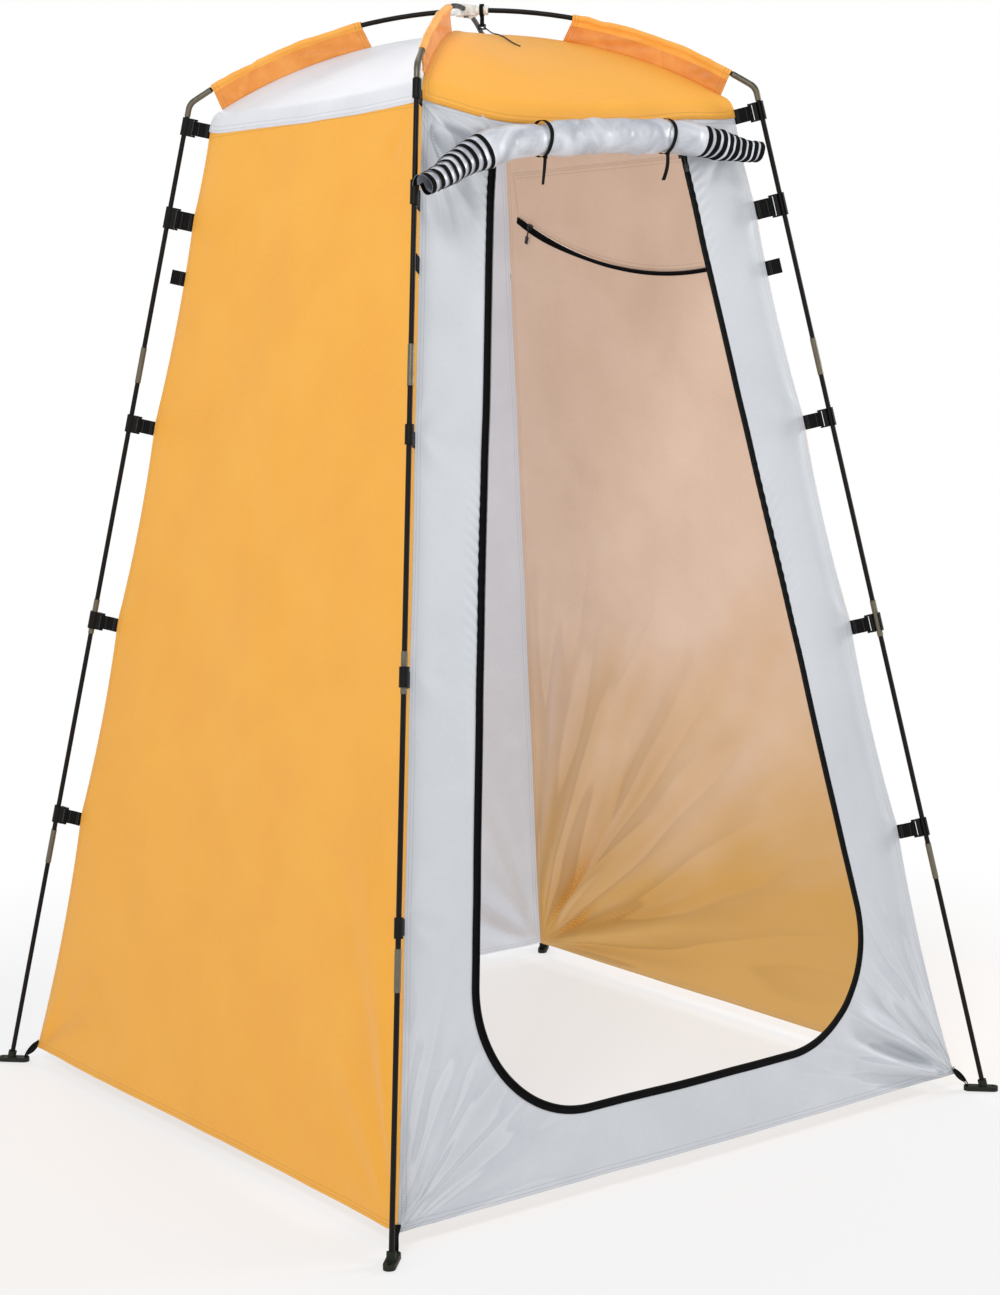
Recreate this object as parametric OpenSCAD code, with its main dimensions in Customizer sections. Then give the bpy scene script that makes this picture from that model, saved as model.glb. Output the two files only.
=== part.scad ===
// Privacy shower tent: four leaning legs and crossed arches of shock-corded
// tube carry a square fabric room on clip-on webbing, with a roll-up door.
// +Z is up, the ground is z = 0, the origin is under the crossing of the
// arches, and the door wall faces -Y.

/* [Frame] */
// Half width of the leg axes at the ground, along X and Y
leg_half = 637.5; // [600:0.5:675]
// How far each leg leans in along X and Y per unit of height
lean_in = 0.1627; // [0.155:0.0001:0.17]
// Radius of the arches over the roof
arch_r = 930; // [910:1:950]
// Height of the tube centre line where the arches cross
crown_z = 1901; // [1890:1:1915]
// Outer radius of the fibreglass tube
tube_r = 4.25; // [4:0.05:4.4]
// Radius of the hole through the tube
tube_bore_r = 2.2; // [2:0.1:2.4]
// Radius of the elastic cord inside the tubes
cord_r = 1.4; // [1.2:0.1:1.6]
// Outer radius of the steel ferrules and shoulder elbows
ferrule_r = 5.2; // [5:0.1:5.6]
// Length of one ferrule
ferrule_l = 64; // [50:1:76]
// Heights of the ferrule centres
ferrule_z = [415, 845, 1300];
// Bend radius of the shoulder elbows
elbow_bend_r = 24; // [20:1:30]

/* [Fabric room] */
// Gap between the leg axis and the fabric corner, along X and Y
fabric_gap = 32.9; // [31:0.1:36]
// Height of the hem above the ground
hem_z = 28; // [20:1:40]
// Height of the eave seam
eave_z = 1708; // [1700:1:1715]
// Thickness of the fabric solids
cloth_t = 1; // [0.8:0.1:1.4]
// Drop of the roof below the arches
roof_drop = 40; // [36:1:44]

/* [Door] */
// Half width of the door opening if its sides ran down to the ground
door_half = 462; // [440:1:475]
// Height of the bottom of the door opening
door_sill = 141; // [120:1:170]
// Height of the top of the door opening
door_top = 1665; // [1640:1:1668]
// Corner radius at the bottom of the door opening
door_r = 190; // [150:1:200]
// Width of the zip tape sewn round the opening
zip_w = 13; // [10:0.5:16]
// Distance of the rolled door in front of the wall
roll_out = 38; // [36:1:42]
// Position of the two ties along the roll
tie_x = 130; // [110:1:150]

/* [Window] */
// Sideways place of the middle of the window zip's arc
win_mid = -130; // [-140:1:-100]
// Radius of the window zip's arc
win_r = 890; // [880:1:900]
// Height of the lowest point of the arc
win_low = 1453; // [1440:1:1460]
// Height of the flap's sewn top edge
win_top = 1655; // [1640:1:1660]
// Half width of the window flap
win_half = 318; // [300:1:322]

/* [Straps and clips] */
// Heights of the clips on each leg
clip_z = [1718, 1560, 1196, 838.5, 476];
// Width of the webbing at each clip
web_w = [25, 32, 25, 25, 25];
// Distance of the clip's hinge bar from the leg axis
bar_out = 17; // [15:0.5:19]
// Inner radius of each clip's hook; the fourth closes round a ferrule
hook_r = [4.5, 4.5, 4.5, 5.45, 4.5];
// Wall of the clip's hook
hook_t = 2.7; // [2.2:0.1:3.2]

/* [Feet] */
// Length of a foot towards the tent
foot_in = 36; // [30:1:42]
// Length of a foot away from the tent
foot_out = 24; // [20:1:28]
// Width of a foot
foot_w = 19; // [16:1:24]
// Thickness of a foot
foot_h = 8; // [6:0.5:10]
// Radius of the peg hole
peg_r = 3.2; // [2.8:0.1:3.6]

/* [Hidden] */

q2 = sqrt(2);
d0 = q2 * leg_half;                 // leg axis at the ground, along the diagonal
lean = atan(q2 * lean_in);          // lean of a leg in its diagonal plane
tilt = atan(lean_in);               // tilt of a wall
ct = cos(tilt);
st = sin(tilt);
hw = leg_half - fabric_gap;         // half width of the room at the ground
arch_cz = crown_z - arch_r;         // centre of the arches
function dleg(z) = d0 - q2 * lean_in * z;
function sleg(z) = z / cos(lean);   // distance along a leg at height z
function hwall(z) = hw - lean_in * z;

// bend of the shoulder elbow: a circle inside both the leg line and the arch
bx = d0 - elbow_bend_r * cos(lean);
bz = -elbow_bend_r * sin(lean) - arch_cz;
bu = -bx * sin(lean) + bz * cos(lean);
bt = -bu + sqrt(bu * bu - (bx * bx + bz * bz - pow(arch_r - elbow_bend_r, 2)));
bend_x = bx - bt * sin(lean);
bend_z = bz + bt * cos(lean) + arch_cz;
leg_len = bt;                                   // leg axis length from the ground to the bend
arch_a = atan2(bend_x, bend_z - arch_cz);       // arch angle from the vertical at the elbow
elbow_up = 36 / arch_r * 180 / PI;              // arch angle covered by the elbow
elbow_dn = 12.5;                                  // elbow length down the leg

module corner(k) rotate([0, 0, 45 + 90 * k]) children();
module corners() for (k = [0:3]) corner(k) children();
// frame at a point of a leg: local Z runs up the leg, local X points away from the tent
module leg_at(z) translate([dleg(z), 0, z]) rotate([0, -lean, 0]) children();
module leg_base() translate([d0, 0, 0]) rotate([0, -lean, 0]) children();
// sector of a ring swept about the arch centre, between two angles from the vertical
module arch_sweep(a0, a1) translate([0, 0, arch_cz]) rotate([90, 0, 0]) rotate([0, 0, 90 - a1])
  rotate_extrude(angle = a1 - a0, $fn = 180) children();
module ring(ro, ri) difference() { circle(r = ro, $fn = 40); circle(r = ri, $fn = 40); }
module tube(l, ro, ri) difference() {
  cylinder(h = l, r = ro, $fn = 40);
  translate([0, 0, -1]) cylinder(h = l + 2, r = ri, $fn = 40);
}
// frame of a wall: local X along the wall, local Z up its slope, local -Y outwards
module wall_frame(k) rotate([0, 0, 90 * k]) translate([0, -hw, 0]) rotate([-tilt, 0, 0]) children();
module plate(t) rotate([90, 0, 0]) linear_extrude(t) children();

// ---- frame ----
function leg_sec(i) = [
  i == 0 ? 6 : sleg(ferrule_z[i - 1]) + 0.3,
  i == 3 ? leg_len - 1 : sleg(ferrule_z[i]) - 0.3];
module leg_tubes(i, c) color(c) corners() leg_base() translate([0, 0, leg_sec(i)[0]])
  tube(leg_sec(i)[1] - leg_sec(i)[0], tube_r, tube_bore_r);
module leg_tubes_bottom() leg_tubes(0, "#1b1a1a");
module leg_tubes_lower() leg_tubes(1, "#1b1a1a");
module leg_tubes_upper() leg_tubes(2, "#1b1a1a");
module leg_tubes_top() leg_tubes(3, "#1b1a1a");
module ferrules() color("#8a8078") corners() for (z = ferrule_z)
  leg_base() translate([0, 0, sleg(z) - ferrule_l / 2]) tube(ferrule_l, ferrule_r, tube_r + 0.05);
module tube_tips() color("#3a3a3a") corners() leg_base() difference() {
  union() {
    translate([0, 0, 4.2]) cylinder(h = 1.7, r = tube_r, $fn = 40);
    translate([0, 0, 5.9]) cylinder(h = 12, r = tube_bore_r - 0.05, $fn = 32);
  }
  translate([0, 0, 9]) cylinder(h = 12, r = cord_r + 0.05, $fn = 32);
}
module shoulder_elbows() color("#8d857c") corners() {
  leg_base() translate([0, 0, leg_len - elbow_dn]) tube(elbow_dn + 0.5, ferrule_r, tube_r + 0.1);
  translate([bend_x, 0, bend_z]) rotate([90, 0, 0]) rotate([0, 0, lean])
    rotate_extrude(angle = 90 - arch_a - lean, $fn = 72) translate([elbow_bend_r, 0]) ring(ferrule_r + 0.15, tube_r - 0.2);
  arch_sweep(arch_a - elbow_up, arch_a + 0.03) translate([arch_r, 0]) ring(ferrule_r, tube_r + 0.1);
}
arch_end = asin(17 / arch_r);
module arch_tubes() color("#1b1a1a") corners()
  arch_sweep(arch_end, arch_a - 0.45) translate([arch_r, 0]) ring(tube_r, tube_bore_r);
module shock_cords() color("#2a2a2a") corners() {
  leg_base() translate([0, 0, 9.5]) cylinder(h = leg_len - 9, r = cord_r, $fn = 24);
  translate([bend_x, 0, bend_z]) rotate([90, 0, 0]) rotate([0, 0, lean])
    rotate_extrude(angle = 90 - arch_a - lean, $fn = 72) translate([elbow_bend_r, 0]) circle(r = cord_r + 0.1, $fn = 24);
  arch_sweep(arch_end + 0.06, arch_a + 0.03) translate([arch_r, 0]) circle(r = cord_r, $fn = 24);
}
hub_a = asin(27 / arch_r);
module hub_socket_at() translate([0, 0, arch_cz]) rotate([0, hub_a, 0]) translate([0, 0, arch_r]) children();
module hub() color("#f1f1ee") difference() {
  union() {
    translate([0, 0, crown_z - 9]) cylinder(h = 17, r = 19, $fn = 60);
    corners() hub_socket_at() rotate([0, 90, 0]) translate([0, 0, -16]) cylinder(h = 27.5, r = 7.4, $fn = 40);
    corners() hub_socket_at() rotate([0, 90, 0]) translate([0, 0, 8]) cylinder(h = 3.5, r = 8.2, $fn = 40);
  }
  corners() hub_socket_at() rotate([0, 90, 0]) translate([0, 0, -11]) cylinder(h = 40, r = tube_r + 0.15, $fn = 40);
  translate([0, 0, crown_z - 20]) cylinder(h = 40, r = 3.05, $fn = 32);
}
module hub_rivet() color("#7e7e7c") {
  translate([0, 0, crown_z - 12]) cylinder(h = 22, r = 3, $fn = 32);
  translate([0, 0, crown_z + 8.3]) cylinder(h = 2, r1 = 6, r2 = 4.4, $fn = 32);
  translate([0, 0, crown_z - 12]) cylinder(h = 2.6, r = 5, $fn = 32);
}

// ---- feet ----
module feet() color("#20221c") corners() difference() {
  union() {
    translate([d0 - foot_in + foot_w / 2, -foot_w / 2, 0]) cube([foot_in + foot_out - foot_w, foot_w, foot_h]);
    translate([d0 - foot_in + foot_w / 2, 0, 0]) cylinder(h = foot_h, r = foot_w / 2, $fn = 48);
    translate([d0 + foot_out - foot_w / 2, 0, 0]) cylinder(h = foot_h, r = foot_w / 2, $fn = 48);
    intersection() {
      leg_base() cylinder(h = 20, r = 7.6, $fn = 48);
      translate([d0 - 40, -20, 2]) cube([80, 40, 40]);
    }
  }
  leg_base() translate([0, 0, 3.9]) cylinder(h = 40, r = tube_r + 0.1, $fn = 40);
  translate([d0 + foot_out - 8.6, 0, -1]) cylinder(h = foot_h + 20, r = peg_r, $fn = 32);
  translate([d0 - foot_in + 4, -6, -1]) cube([3, 12, foot_h + 2]);
}
fab0 = q2 * hwall(hem_z);           // fabric corner at the hem, along the diagonal
slot_x = d0 - foot_in + 5.5;        // middle of the strap slot
module foot_straps() color("#161616") corners() translate([0, 5, 0]) rotate([90, 0, 0]) linear_extrude(10)
  polygon([[fab0 + 1, hem_z + 2], [slot_x - 0.6, foot_h + 2], [slot_x - 0.6, 1.2], [slot_x + 0.6, 1.2],
           [slot_x + 0.6, foot_h + 2.8], [fab0 + 1, hem_z + 4]]);

// ---- walls ----
s_hem = hem_z / ct;
s_eave = (eave_z - 1) / ct;
function wl(s) = hw - st * s;       // half width of a wall at slope distance s
module wall_shape() polygon([[-wl(s_hem) + 1.6, s_hem], [wl(s_hem) - 1.6, s_hem],
                             [wl(s_eave) - 1.6, s_eave], [-wl(s_eave) + 1.6, s_eave]]);
// door opening grown outwards by o, as a plate of thickness t from local y = y0 to y0 + t
dt = atan(st);                      // slope of the door's sides in the wall
function hd(s) = door_half - st * s;
d_s0 = door_sill / ct;
d_sc = d_s0 + door_r;
d_xc = hd(d_sc) - door_r / cos(dt);
d_st = door_top / ct;
module door_solid(o, y0, t) translate([0, y0 + t, 0]) plate(t) {
  polygon([[-d_xc, d_s0 - o], [d_xc, d_s0 - o],
           [d_xc + (door_r + o) * cos(dt), d_sc + (door_r + o) * sin(dt)],
           [hd(d_st) + o / cos(dt) - dt_top(o), d_st + o], [-hd(d_st) - o / cos(dt) + dt_top(o), d_st + o],
           [-d_xc - (door_r + o) * cos(dt), d_sc + (door_r + o) * sin(dt)]]);
}
function dt_top(o) = o * tan(dt);
module door_round(o, y0, t) for (m = [-1, 1]) translate([m * d_xc, y0 + t, d_sc])
  rotate([90, 0, 0]) cylinder(h = t, r = door_r + o, $fn = 96);
module door_cut(o, y0, t) { door_solid(o, y0, t); door_round(o, y0, t); }

module wall_front() color("#d7dce3") wall_frame(0) difference() {
  plate(cloth_t) wall_shape();
  door_cut(zip_w + 0.4, -5, 10);
}
module wall_left() color("#fdbd52") wall_frame(3) plate(cloth_t) wall_shape();
module wall_back() color("#d7dce3") wall_frame(2) plate(cloth_t) wall_shape();

// window arc, in the frame of the right wall
w_low = win_low / ct;
w_top = win_top / ct;
w_cs = w_low + win_r;
// the flap's outline grown by o
module win_cut(o, y0, t) intersection() {
  translate([win_mid, y0 + t, w_cs]) rotate([90, 0, 0]) cylinder(h = t, r = win_r + o, $fn = 360);
  translate([-win_half - o, y0 - 1, w_low - 60]) cube([2 * win_half + 2 * o, t + 2, w_top - w_low + 60 + o]);
}
module wall_right() color("#fdbd52") wall_frame(1) difference() {
  plate(cloth_t) wall_shape();
  win_cut(0.6, -5, 10);
}
module window_flap() color("#fdbd52") wall_frame(1) win_cut(0, -cloth_t, cloth_t);
// zip tape on the inner face, just outside the flap's arc
module window_zip() color("#1c1c1c") wall_frame(1) difference() {
  intersection() {
    translate([win_mid, 1.7, w_cs]) rotate([90, 0, 0]) cylinder(h = 1.4, r = win_r + 10, $fn = 360);
    translate([-win_half - 3, 0, w_low - 60]) cube([2 * win_half + 6, 2.5, w_top - w_low - 24]);
  }
  translate([win_mid, 3, w_cs]) rotate([90, 0, 0]) cylinder(h = 4, r = win_r + 1, $fn = 360);
}
// angle of the window slider's rest place from straight down, about the arc's centre
win_a0 = 27.4;
module win_arc_frame(a) wall_frame(1) translate([win_mid, 0, w_cs]) rotate([0, -a, 0]) translate([0, 0, -win_r - 1]) children();
module window_zip_slider() color("#4a4a4c") win_arc_frame(win_a0) {
  difference() {
    translate([-5.5, 0.4, -4]) cube([11, 5, 9]);
    translate([-6, -1, -6]) cube([12, 3, 8]);
    translate([-6, -1, -6]) cube([12, 3, 3.4]);
  }
  translate([-3, 5.2, -1.5]) cube([1.6, 4, 3]);
  translate([1.4, 5.2, -1.5]) cube([1.6, 4, 3]);
  translate([-2, 7.6, 0]) rotate([0, 90, 0]) cylinder(h = 4, r = 0.8, $fn = 24);
}
module window_zip_pull() color("#2c2c2e") win_arc_frame(win_a0) difference() {
  union() {
    translate([-1.1, 6, -24]) cube([2.2, 1.8, 22]);
    translate([-4, 6.1, -34]) cube([8, 1.6, 15]);
    translate([-1.1, 7.6, 0]) rotate([0, 90, 0]) cylinder(h = 2.2, r = 2, $fn = 32);
    translate([-1.1, 6.2, -4]) cube([2.2, 1.6, 4]);
  }
  translate([-3, 7.6, 0]) rotate([0, 90, 0]) cylinder(h = 6, r = 0.9, $fn = 24);
}

// ---- roof ----
roof_r = arch_r - roof_drop;
hip_d = 445;                        // where the hips turn down to the eave
n_roof = 14;
eave_d = q2 * hwall(eave_z);
function roof_z(d, r) = arch_cz + sqrt(r * r - d * d);
roof_outer = concat([for (i = [0:n_roof]) let (d = hip_d * i / n_roof) [d / q2, roof_z(d, roof_r)]],
                    [[(hip_d + 12) / q2, roof_z(hip_d, roof_r) - 17], [eave_d / q2, eave_z]]);
roof_inner = concat([for (i = [0:n_roof]) let (d = (hip_d - 1) * i / n_roof) [d / q2, roof_z(d, roof_r - cloth_t)]],
                    [[(hip_d + 12) / q2 - cloth_t, roof_z(hip_d, roof_r) - 17.5], [eave_d / q2 - cloth_t, eave_z]]);
module roof_gore(k) rotate([0, 0, 90 * k]) intersection() {
  translate([-400, 0, 0]) rotate([90, 0, 90]) linear_extrude(800)
    polygon([for (i = [0:len(roof_outer) + len(roof_inner) - 1])
      i < len(roof_outer) ? [-roof_outer[i][0], roof_outer[i][1]]
        : let (p = roof_inner[len(roof_inner) - 1 - (i - len(roof_outer))]) [-p[0], p[1]]]);
  translate([0, 0, 1600]) linear_extrude(400) polygon([[0, -1], [-400, -401], [400, -401]]);
}
module roof_front() color("#fdbd52") roof_gore(0);
module roof_right() color("#e9edf2") roof_gore(1);
module roof_back() color("#fdbd52") roof_gore(2);
module roof_left() color("#e9edf2") roof_gore(3);
module hip_sleeves() color("#f6b04c") corners() arch_sweep(asin(185 / arch_r), asin(455 / arch_r)) {
  difference() {
    union() {
      translate([arch_r, 0]) circle(r = tube_r + 1.7, $fn = 40);
      translate([roof_r + 1, -0.8]) square([roof_drop - 4, 1.6]);
    }
    translate([arch_r, 0]) circle(r = tube_r + 0.5, $fn = 40);
  }
}
// strap from the hub down to a hook that holds the crown of the roof
strap_x = 30;
module roof_strap() color("#161616") translate([strap_x * 0.7, -strap_x * 0.7, 0]) rotate([0, 0, -45]) {
  translate([-6, 0, 0]) difference() {
    translate([0, 0, crown_z]) rotate([0, 90, 0]) cylinder(h = 7, r = 10.2, $fn = 48);
    translate([-1, 0, crown_z]) rotate([0, 90, 0]) cylinder(h = 9, r = 9, $fn = 48);
  }
  translate([-6, -0.8, crown_z - 23]) cube([7, 1.6, 13.2]);
  translate([-6, 0, crown_z - 25]) rotate([0, 90, 0]) tube(7, 2.9, 1.9);
}
hook_z = crown_z - 25;
module roof_hook() color("#1d1d1f") translate([strap_x * 0.7, -strap_x * 0.7, hook_z]) rotate([0, 0, -45]) {
  translate([-9, 0, 0]) rotate([0, 90, 0]) cylinder(h = 13, r = 1.5, $fn = 32);
  translate([-9, -1.5, -6]) cube([2.2, 3, 6]);
  translate([1.8, -1.5, -6]) cube([2.2, 3, 6]);
  translate([-9, -1.5, -8]) cube([13, 3, 2.6]);
}

// ---- webbing and clips ----
module strap(z, w) leg_at(z) translate([0, 0, -w / 2]) linear_extrude(w) {
  translate([-bar_out, 0]) ring(3.8, 2.55);
  translate([-46, -1.2]) square([46 - bar_out - 3.3, 2.4]);
}
module straps(k) color("#171717") corner(k) for (i = [0:4]) strap(clip_z[i], web_w[i]);
module straps_br() straps(0);
module straps_bl() straps(1);
module straps_fl() straps(2);
module straps_fr() straps(3);
// hook clip: an open hook round the leg, carried by a bar that turns in the webbing loop
module clip(k, i) color("#101010") corner(k) leg_at(clip_z[i]) {
  w = web_w[i];
  h = w + 6.4;
  r = hook_r[i];
  translate([0, 0, -h / 2]) difference() {
    linear_extrude(h) {
      circle(r = r + hook_t, $fn = 48);
      translate([-12.8, -4.6]) square([8.2, 9.2]);
    }
    translate([0, 0, -1]) cylinder(h = h + 2, r = r, $fn = 48);
    translate([-bar_out, 0, -1]) rotate([0, 0, -100]) rotate_extrude(angle = 100, $fn = 90)
      translate([bar_out - r, 0]) square([2 * r, h + 2]);
  }
  for (m = [-1, 1]) translate([0, 0, m * (w / 2 + 1.9) - 1.3]) {
    translate([-bar_out, -2.4, 0]) cube([bar_out - 8, 4.8, 2.6]);
    translate([-bar_out, 0, 0]) cylinder(h = 2.6, r = 3.6, $fn = 32);
  }
  translate([-bar_out, 0, -h / 2]) cylinder(h = h, r = 2.2, $fn = 32);
}
module clip_br_1() clip(0, 0);
module clip_br_2() clip(0, 1);
module clip_br_3() clip(0, 2);
module clip_br_4() clip(0, 3);
module clip_br_5() clip(0, 4);
module clip_bl_1() clip(1, 0);
module clip_bl_2() clip(1, 1);
module clip_bl_3() clip(1, 2);
module clip_bl_4() clip(1, 3);
module clip_bl_5() clip(1, 4);
module clip_fl_1() clip(2, 0);
module clip_fl_2() clip(2, 1);
module clip_fl_3() clip(2, 2);
module clip_fl_4() clip(2, 3);
module clip_fl_5() clip(2, 4);
module clip_fr_1() clip(3, 0);
module clip_fr_2() clip(3, 1);
module clip_fr_3() clip(3, 2);
module clip_fr_4() clip(3, 3);
module clip_fr_5() clip(3, 4);
// folded webbing tabs for guy lines, sewn into the corner seams
tab_z = 1462;
module guy_tabs() color("#121212") corners() leg_at(tab_z) translate([-46 + 0.5, -1.6, -13]) cube([22, 3.2, 26]);

// ---- door ----
module door_zip() color("#1c1c1c") wall_frame(0) difference() {
  door_cut(zip_w, -1.3, 1.6);
  door_cut(0, -3, 6);
  translate([-400, -4, d_st - 6]) cube([800, 8, 60]);
}
// place of the door slider, on the edge of the right-hand side of the zip
sl_s = 1640 / ct;
module door_slider_frame() wall_frame(0) translate([hd(sl_s), -0.5, sl_s]) rotate([0, -dt, 0]) children();
module door_zip_slider() color("#4a4a4c") door_slider_frame() {
  difference() {
    translate([-5, -3.2, -6]) cube([10, 6.4, 12]);
    translate([-0.8, -1.15, -7]) cube([8, 2.3, 14]);
  }
  translate([-2.9, -6.6, -1.5]) cube([1.5, 3.6, 3]);
  translate([1.4, -6.6, -1.5]) cube([1.5, 3.6, 3]);
  translate([-2, -5.2, 0]) rotate([0, 90, 0]) cylinder(h = 4, r = 0.8, $fn = 24);
}
module door_zip_pull() color("#2c2c2e") door_slider_frame() difference() {
  union() {
    translate([-1.1, -5.4, -20]) cube([2.2, 1.6, 20]);
    translate([-4, -5.4, -30]) cube([8, 1.6, 13]);
    translate([-1.1, -5.2, 0]) rotate([0, 90, 0]) cylinder(h = 2.2, r = 1.8, $fn = 32);
  }
  translate([-3, -5.2, 0]) rotate([0, 90, 0]) cylinder(h = 6, r = 0.9, $fn = 24);
}
// rolled door panel: centre line [x, z], radius, and how far it stands out past roll_out, clear of the leg at its left
roll = [[-400, 1565, 19, 40], [-381, 1573, 20, 36.5], [-362, 1581, 21, 31], [-340, 1590, 21.5, 23], [-317, 1599, 22, 13.5],
        [-282, 1615, 23, 6], [-250, 1628, 24, 1.5], [-220, 1637, 25, 0], [-190, 1643, 25, 0], [-90, 1654, 26, 0],
        [0, 1660, 26, 0], [90, 1664, 26, 0], [170, 1663, 25, 0], [205, 1660, 24, 0], [240, 1655, 23, 0],
        [290, 1650, 21, 0], [342, 1646, 19, 0]];
n_roll = 16;
function roll_y(z) = -hwall(z) - roll_out;
module door_roll() color("#c6cad0") polyhedron(
  points = [for (p = roll) for (j = [0:n_roll - 1]) let (a = 360 * j / n_roll)
    [p[0], roll_y(p[1]) - p[3] + p[2] * cos(a), p[1] + p[2] * sin(a)]],
  faces = concat(
    [for (i = [0:len(roll) - 2]) for (j = [0:n_roll - 1]) let (k = (j + 1) % n_roll, a = i * n_roll, b = a + n_roll)
      [a + j, b + j, b + k, a + k]],
    [[for (j = [0:n_roll - 1]) j], [for (j = [0:n_roll - 1]) (len(roll) - 1) * n_roll + n_roll - 1 - j]]),
  convexity = 4);
tie_z = [1651, 1665];
tie_r = 28;
tie_tail_l = 43;
module tie_frame(m) translate([m * tie_x, roll_y(tie_z[m < 0 ? 0 : 1]), tie_z[m < 0 ? 0 : 1]]) rotate([0, m < 0 ? -5 : -1, 0]) children();
module tie_loops() color("#141414") for (m = [-1, 1]) {
  tie_frame(m) translate([-5, 0, 0]) rotate([0, 90, 0]) tube(10, tie_r + 1.2, tie_r);
}
module tie_tail(m) color("#141414") tie_frame(m) translate([-5, -6.6, -tie_r - 1 - tie_tail_l]) cube([10, 1.2, tie_tail_l]);
module tie_tail_left() tie_tail(-1);
module tie_tail_right() tie_tail(1);

hub();
hub_rivet();
arch_tubes();
shoulder_elbows();
leg_tubes_top();
leg_tubes_upper();
leg_tubes_lower();
leg_tubes_bottom();
ferrules();
tube_tips();
shock_cords();
feet();
foot_straps();
wall_front();
wall_right();
wall_back();
wall_left();
roof_front();
roof_right();
roof_back();
roof_left();
hip_sleeves();
straps_br();
straps_bl();
straps_fl();
straps_fr();
clip_br_1();
clip_br_2();
clip_br_3();
clip_br_4();
clip_br_5();
clip_bl_1();
clip_bl_2();
clip_bl_3();
clip_bl_4();
clip_bl_5();
clip_fl_1();
clip_fl_2();
clip_fl_3();
clip_fl_4();
clip_fl_5();
clip_fr_1();
clip_fr_2();
clip_fr_3();
clip_fr_4();
clip_fr_5();
door_roll();
door_zip();
door_zip_slider();
door_zip_pull();
tie_loops();
tie_tail_left();
tie_tail_right();
window_flap();
window_zip();
window_zip_slider();
window_zip_pull();
roof_strap();
roof_hook();
guy_tabs();
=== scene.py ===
import math
import bpy
import numpy as np
from mathutils import Matrix, Vector


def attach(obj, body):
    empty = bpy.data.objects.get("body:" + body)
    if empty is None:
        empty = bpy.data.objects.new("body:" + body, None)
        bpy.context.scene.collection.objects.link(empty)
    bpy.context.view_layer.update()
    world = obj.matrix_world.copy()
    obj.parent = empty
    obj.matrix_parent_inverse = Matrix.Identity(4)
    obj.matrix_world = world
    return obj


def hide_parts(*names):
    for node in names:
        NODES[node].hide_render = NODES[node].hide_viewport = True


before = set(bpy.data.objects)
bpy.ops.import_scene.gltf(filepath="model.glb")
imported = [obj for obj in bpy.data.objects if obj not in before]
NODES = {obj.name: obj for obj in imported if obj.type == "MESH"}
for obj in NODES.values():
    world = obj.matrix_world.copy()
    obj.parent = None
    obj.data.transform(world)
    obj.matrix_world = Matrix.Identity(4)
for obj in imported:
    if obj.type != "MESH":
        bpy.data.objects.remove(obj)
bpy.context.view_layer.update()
sin, cos, pi, sqrt = math.sin, math.cos, math.pi, math.sqrt

# ------------------------------------------------------------------ sizes, in metres
LEG_HALF, LEAN_IN, ARCH_R, CROWN = 0.6375, 0.1627, 0.930, 1.901
GAP = 0.0329
HW = LEG_HALF - GAP
D0 = sqrt(2) * LEG_HALF
LEAN = math.atan(sqrt(2) * LEAN_IN)
TILT = math.atan(LEAN_IN)
CT, ST = cos(TILT), sin(TILT)
HEM, EAVE = 0.028, 1.708
ARCH_CZ = CROWN - ARCH_R
HIP_R, HIP_D = 0.890, 0.445
CLIP_Z = [1.718, 1.560, 1.196, 0.8385, 0.476]
WEB_W = [0.025, 0.032, 0.025, 0.025, 0.025]
BAR = 0.017
CORNERS = ["br", "bl", "fl", "fr"]


def rz(a):
    return np.array([[cos(a), -sin(a), 0], [sin(a), cos(a), 0], [0, 0, 1]])


def rx(a):
    return np.array([[1, 0, 0], [0, cos(a), -sin(a)], [0, sin(a), cos(a)]])


def ry(a):
    return np.array([[cos(a), 0, sin(a)], [0, 1, 0], [-sin(a), 0, cos(a)]])


def corner_m(k):
    return rz(pi / 4 + k * pi / 2)


def leg_pts(k, z, p):
    """Points p (n, 3) in the leg's own frame at height z of corner k."""
    q = np.asarray(p, float) @ ry(-LEAN).T + np.array([D0 - sqrt(2) * LEAN_IN * z, 0, z])
    return q @ corner_m(k).T


# ------------------------------------------------------------------ noise, seeded by arithmetic only
def _hash(a, b, seed):
    n = (a * 374761393 + b * 668265263 + seed * 974634777) & 0xFFFFFFFF
    n = ((n ^ (n >> 13)) * 1274126177) & 0xFFFFFFFF
    return ((n ^ (n >> 16)) & 0xFFFF) / 65535.0


def vnoise(x, y, seed=0):
    x, y = np.broadcast_arrays(np.asarray(x, float), np.asarray(y, float))
    xi, yi = np.floor(x).astype(np.int64), np.floor(y).astype(np.int64)
    fx, fy = x - xi, y - yi
    fx, fy = fx * fx * (3 - 2 * fx), fy * fy * (3 - 2 * fy)
    a, b = _hash(xi, yi, seed), _hash(xi + 1, yi, seed)
    c, d = _hash(xi, yi + 1, seed), _hash(xi + 1, yi + 1, seed)
    return 2 * ((a * (1 - fx) + b * fx) * (1 - fy) + (c * (1 - fx) + d * fx) * fy) - 1


def fbm(x, y, seed=0, octaves=3):
    t, amp, f = 0, 1.0, 1.0
    for o in range(octaves):
        t = t + amp * vnoise(x * f, y * f, seed + 17 * o)
        amp, f = amp * 0.5, f * 2.03
    return t


def rnd(i, seed=1):
    return float(_hash(np.int64(i), np.int64(7 * i + 3), seed))


def smooth(a, b, x):
    t = np.clip((np.asarray(x, float) - a) / (b - a), 0, 1)
    return t * t * (3 - 2 * t)


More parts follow.
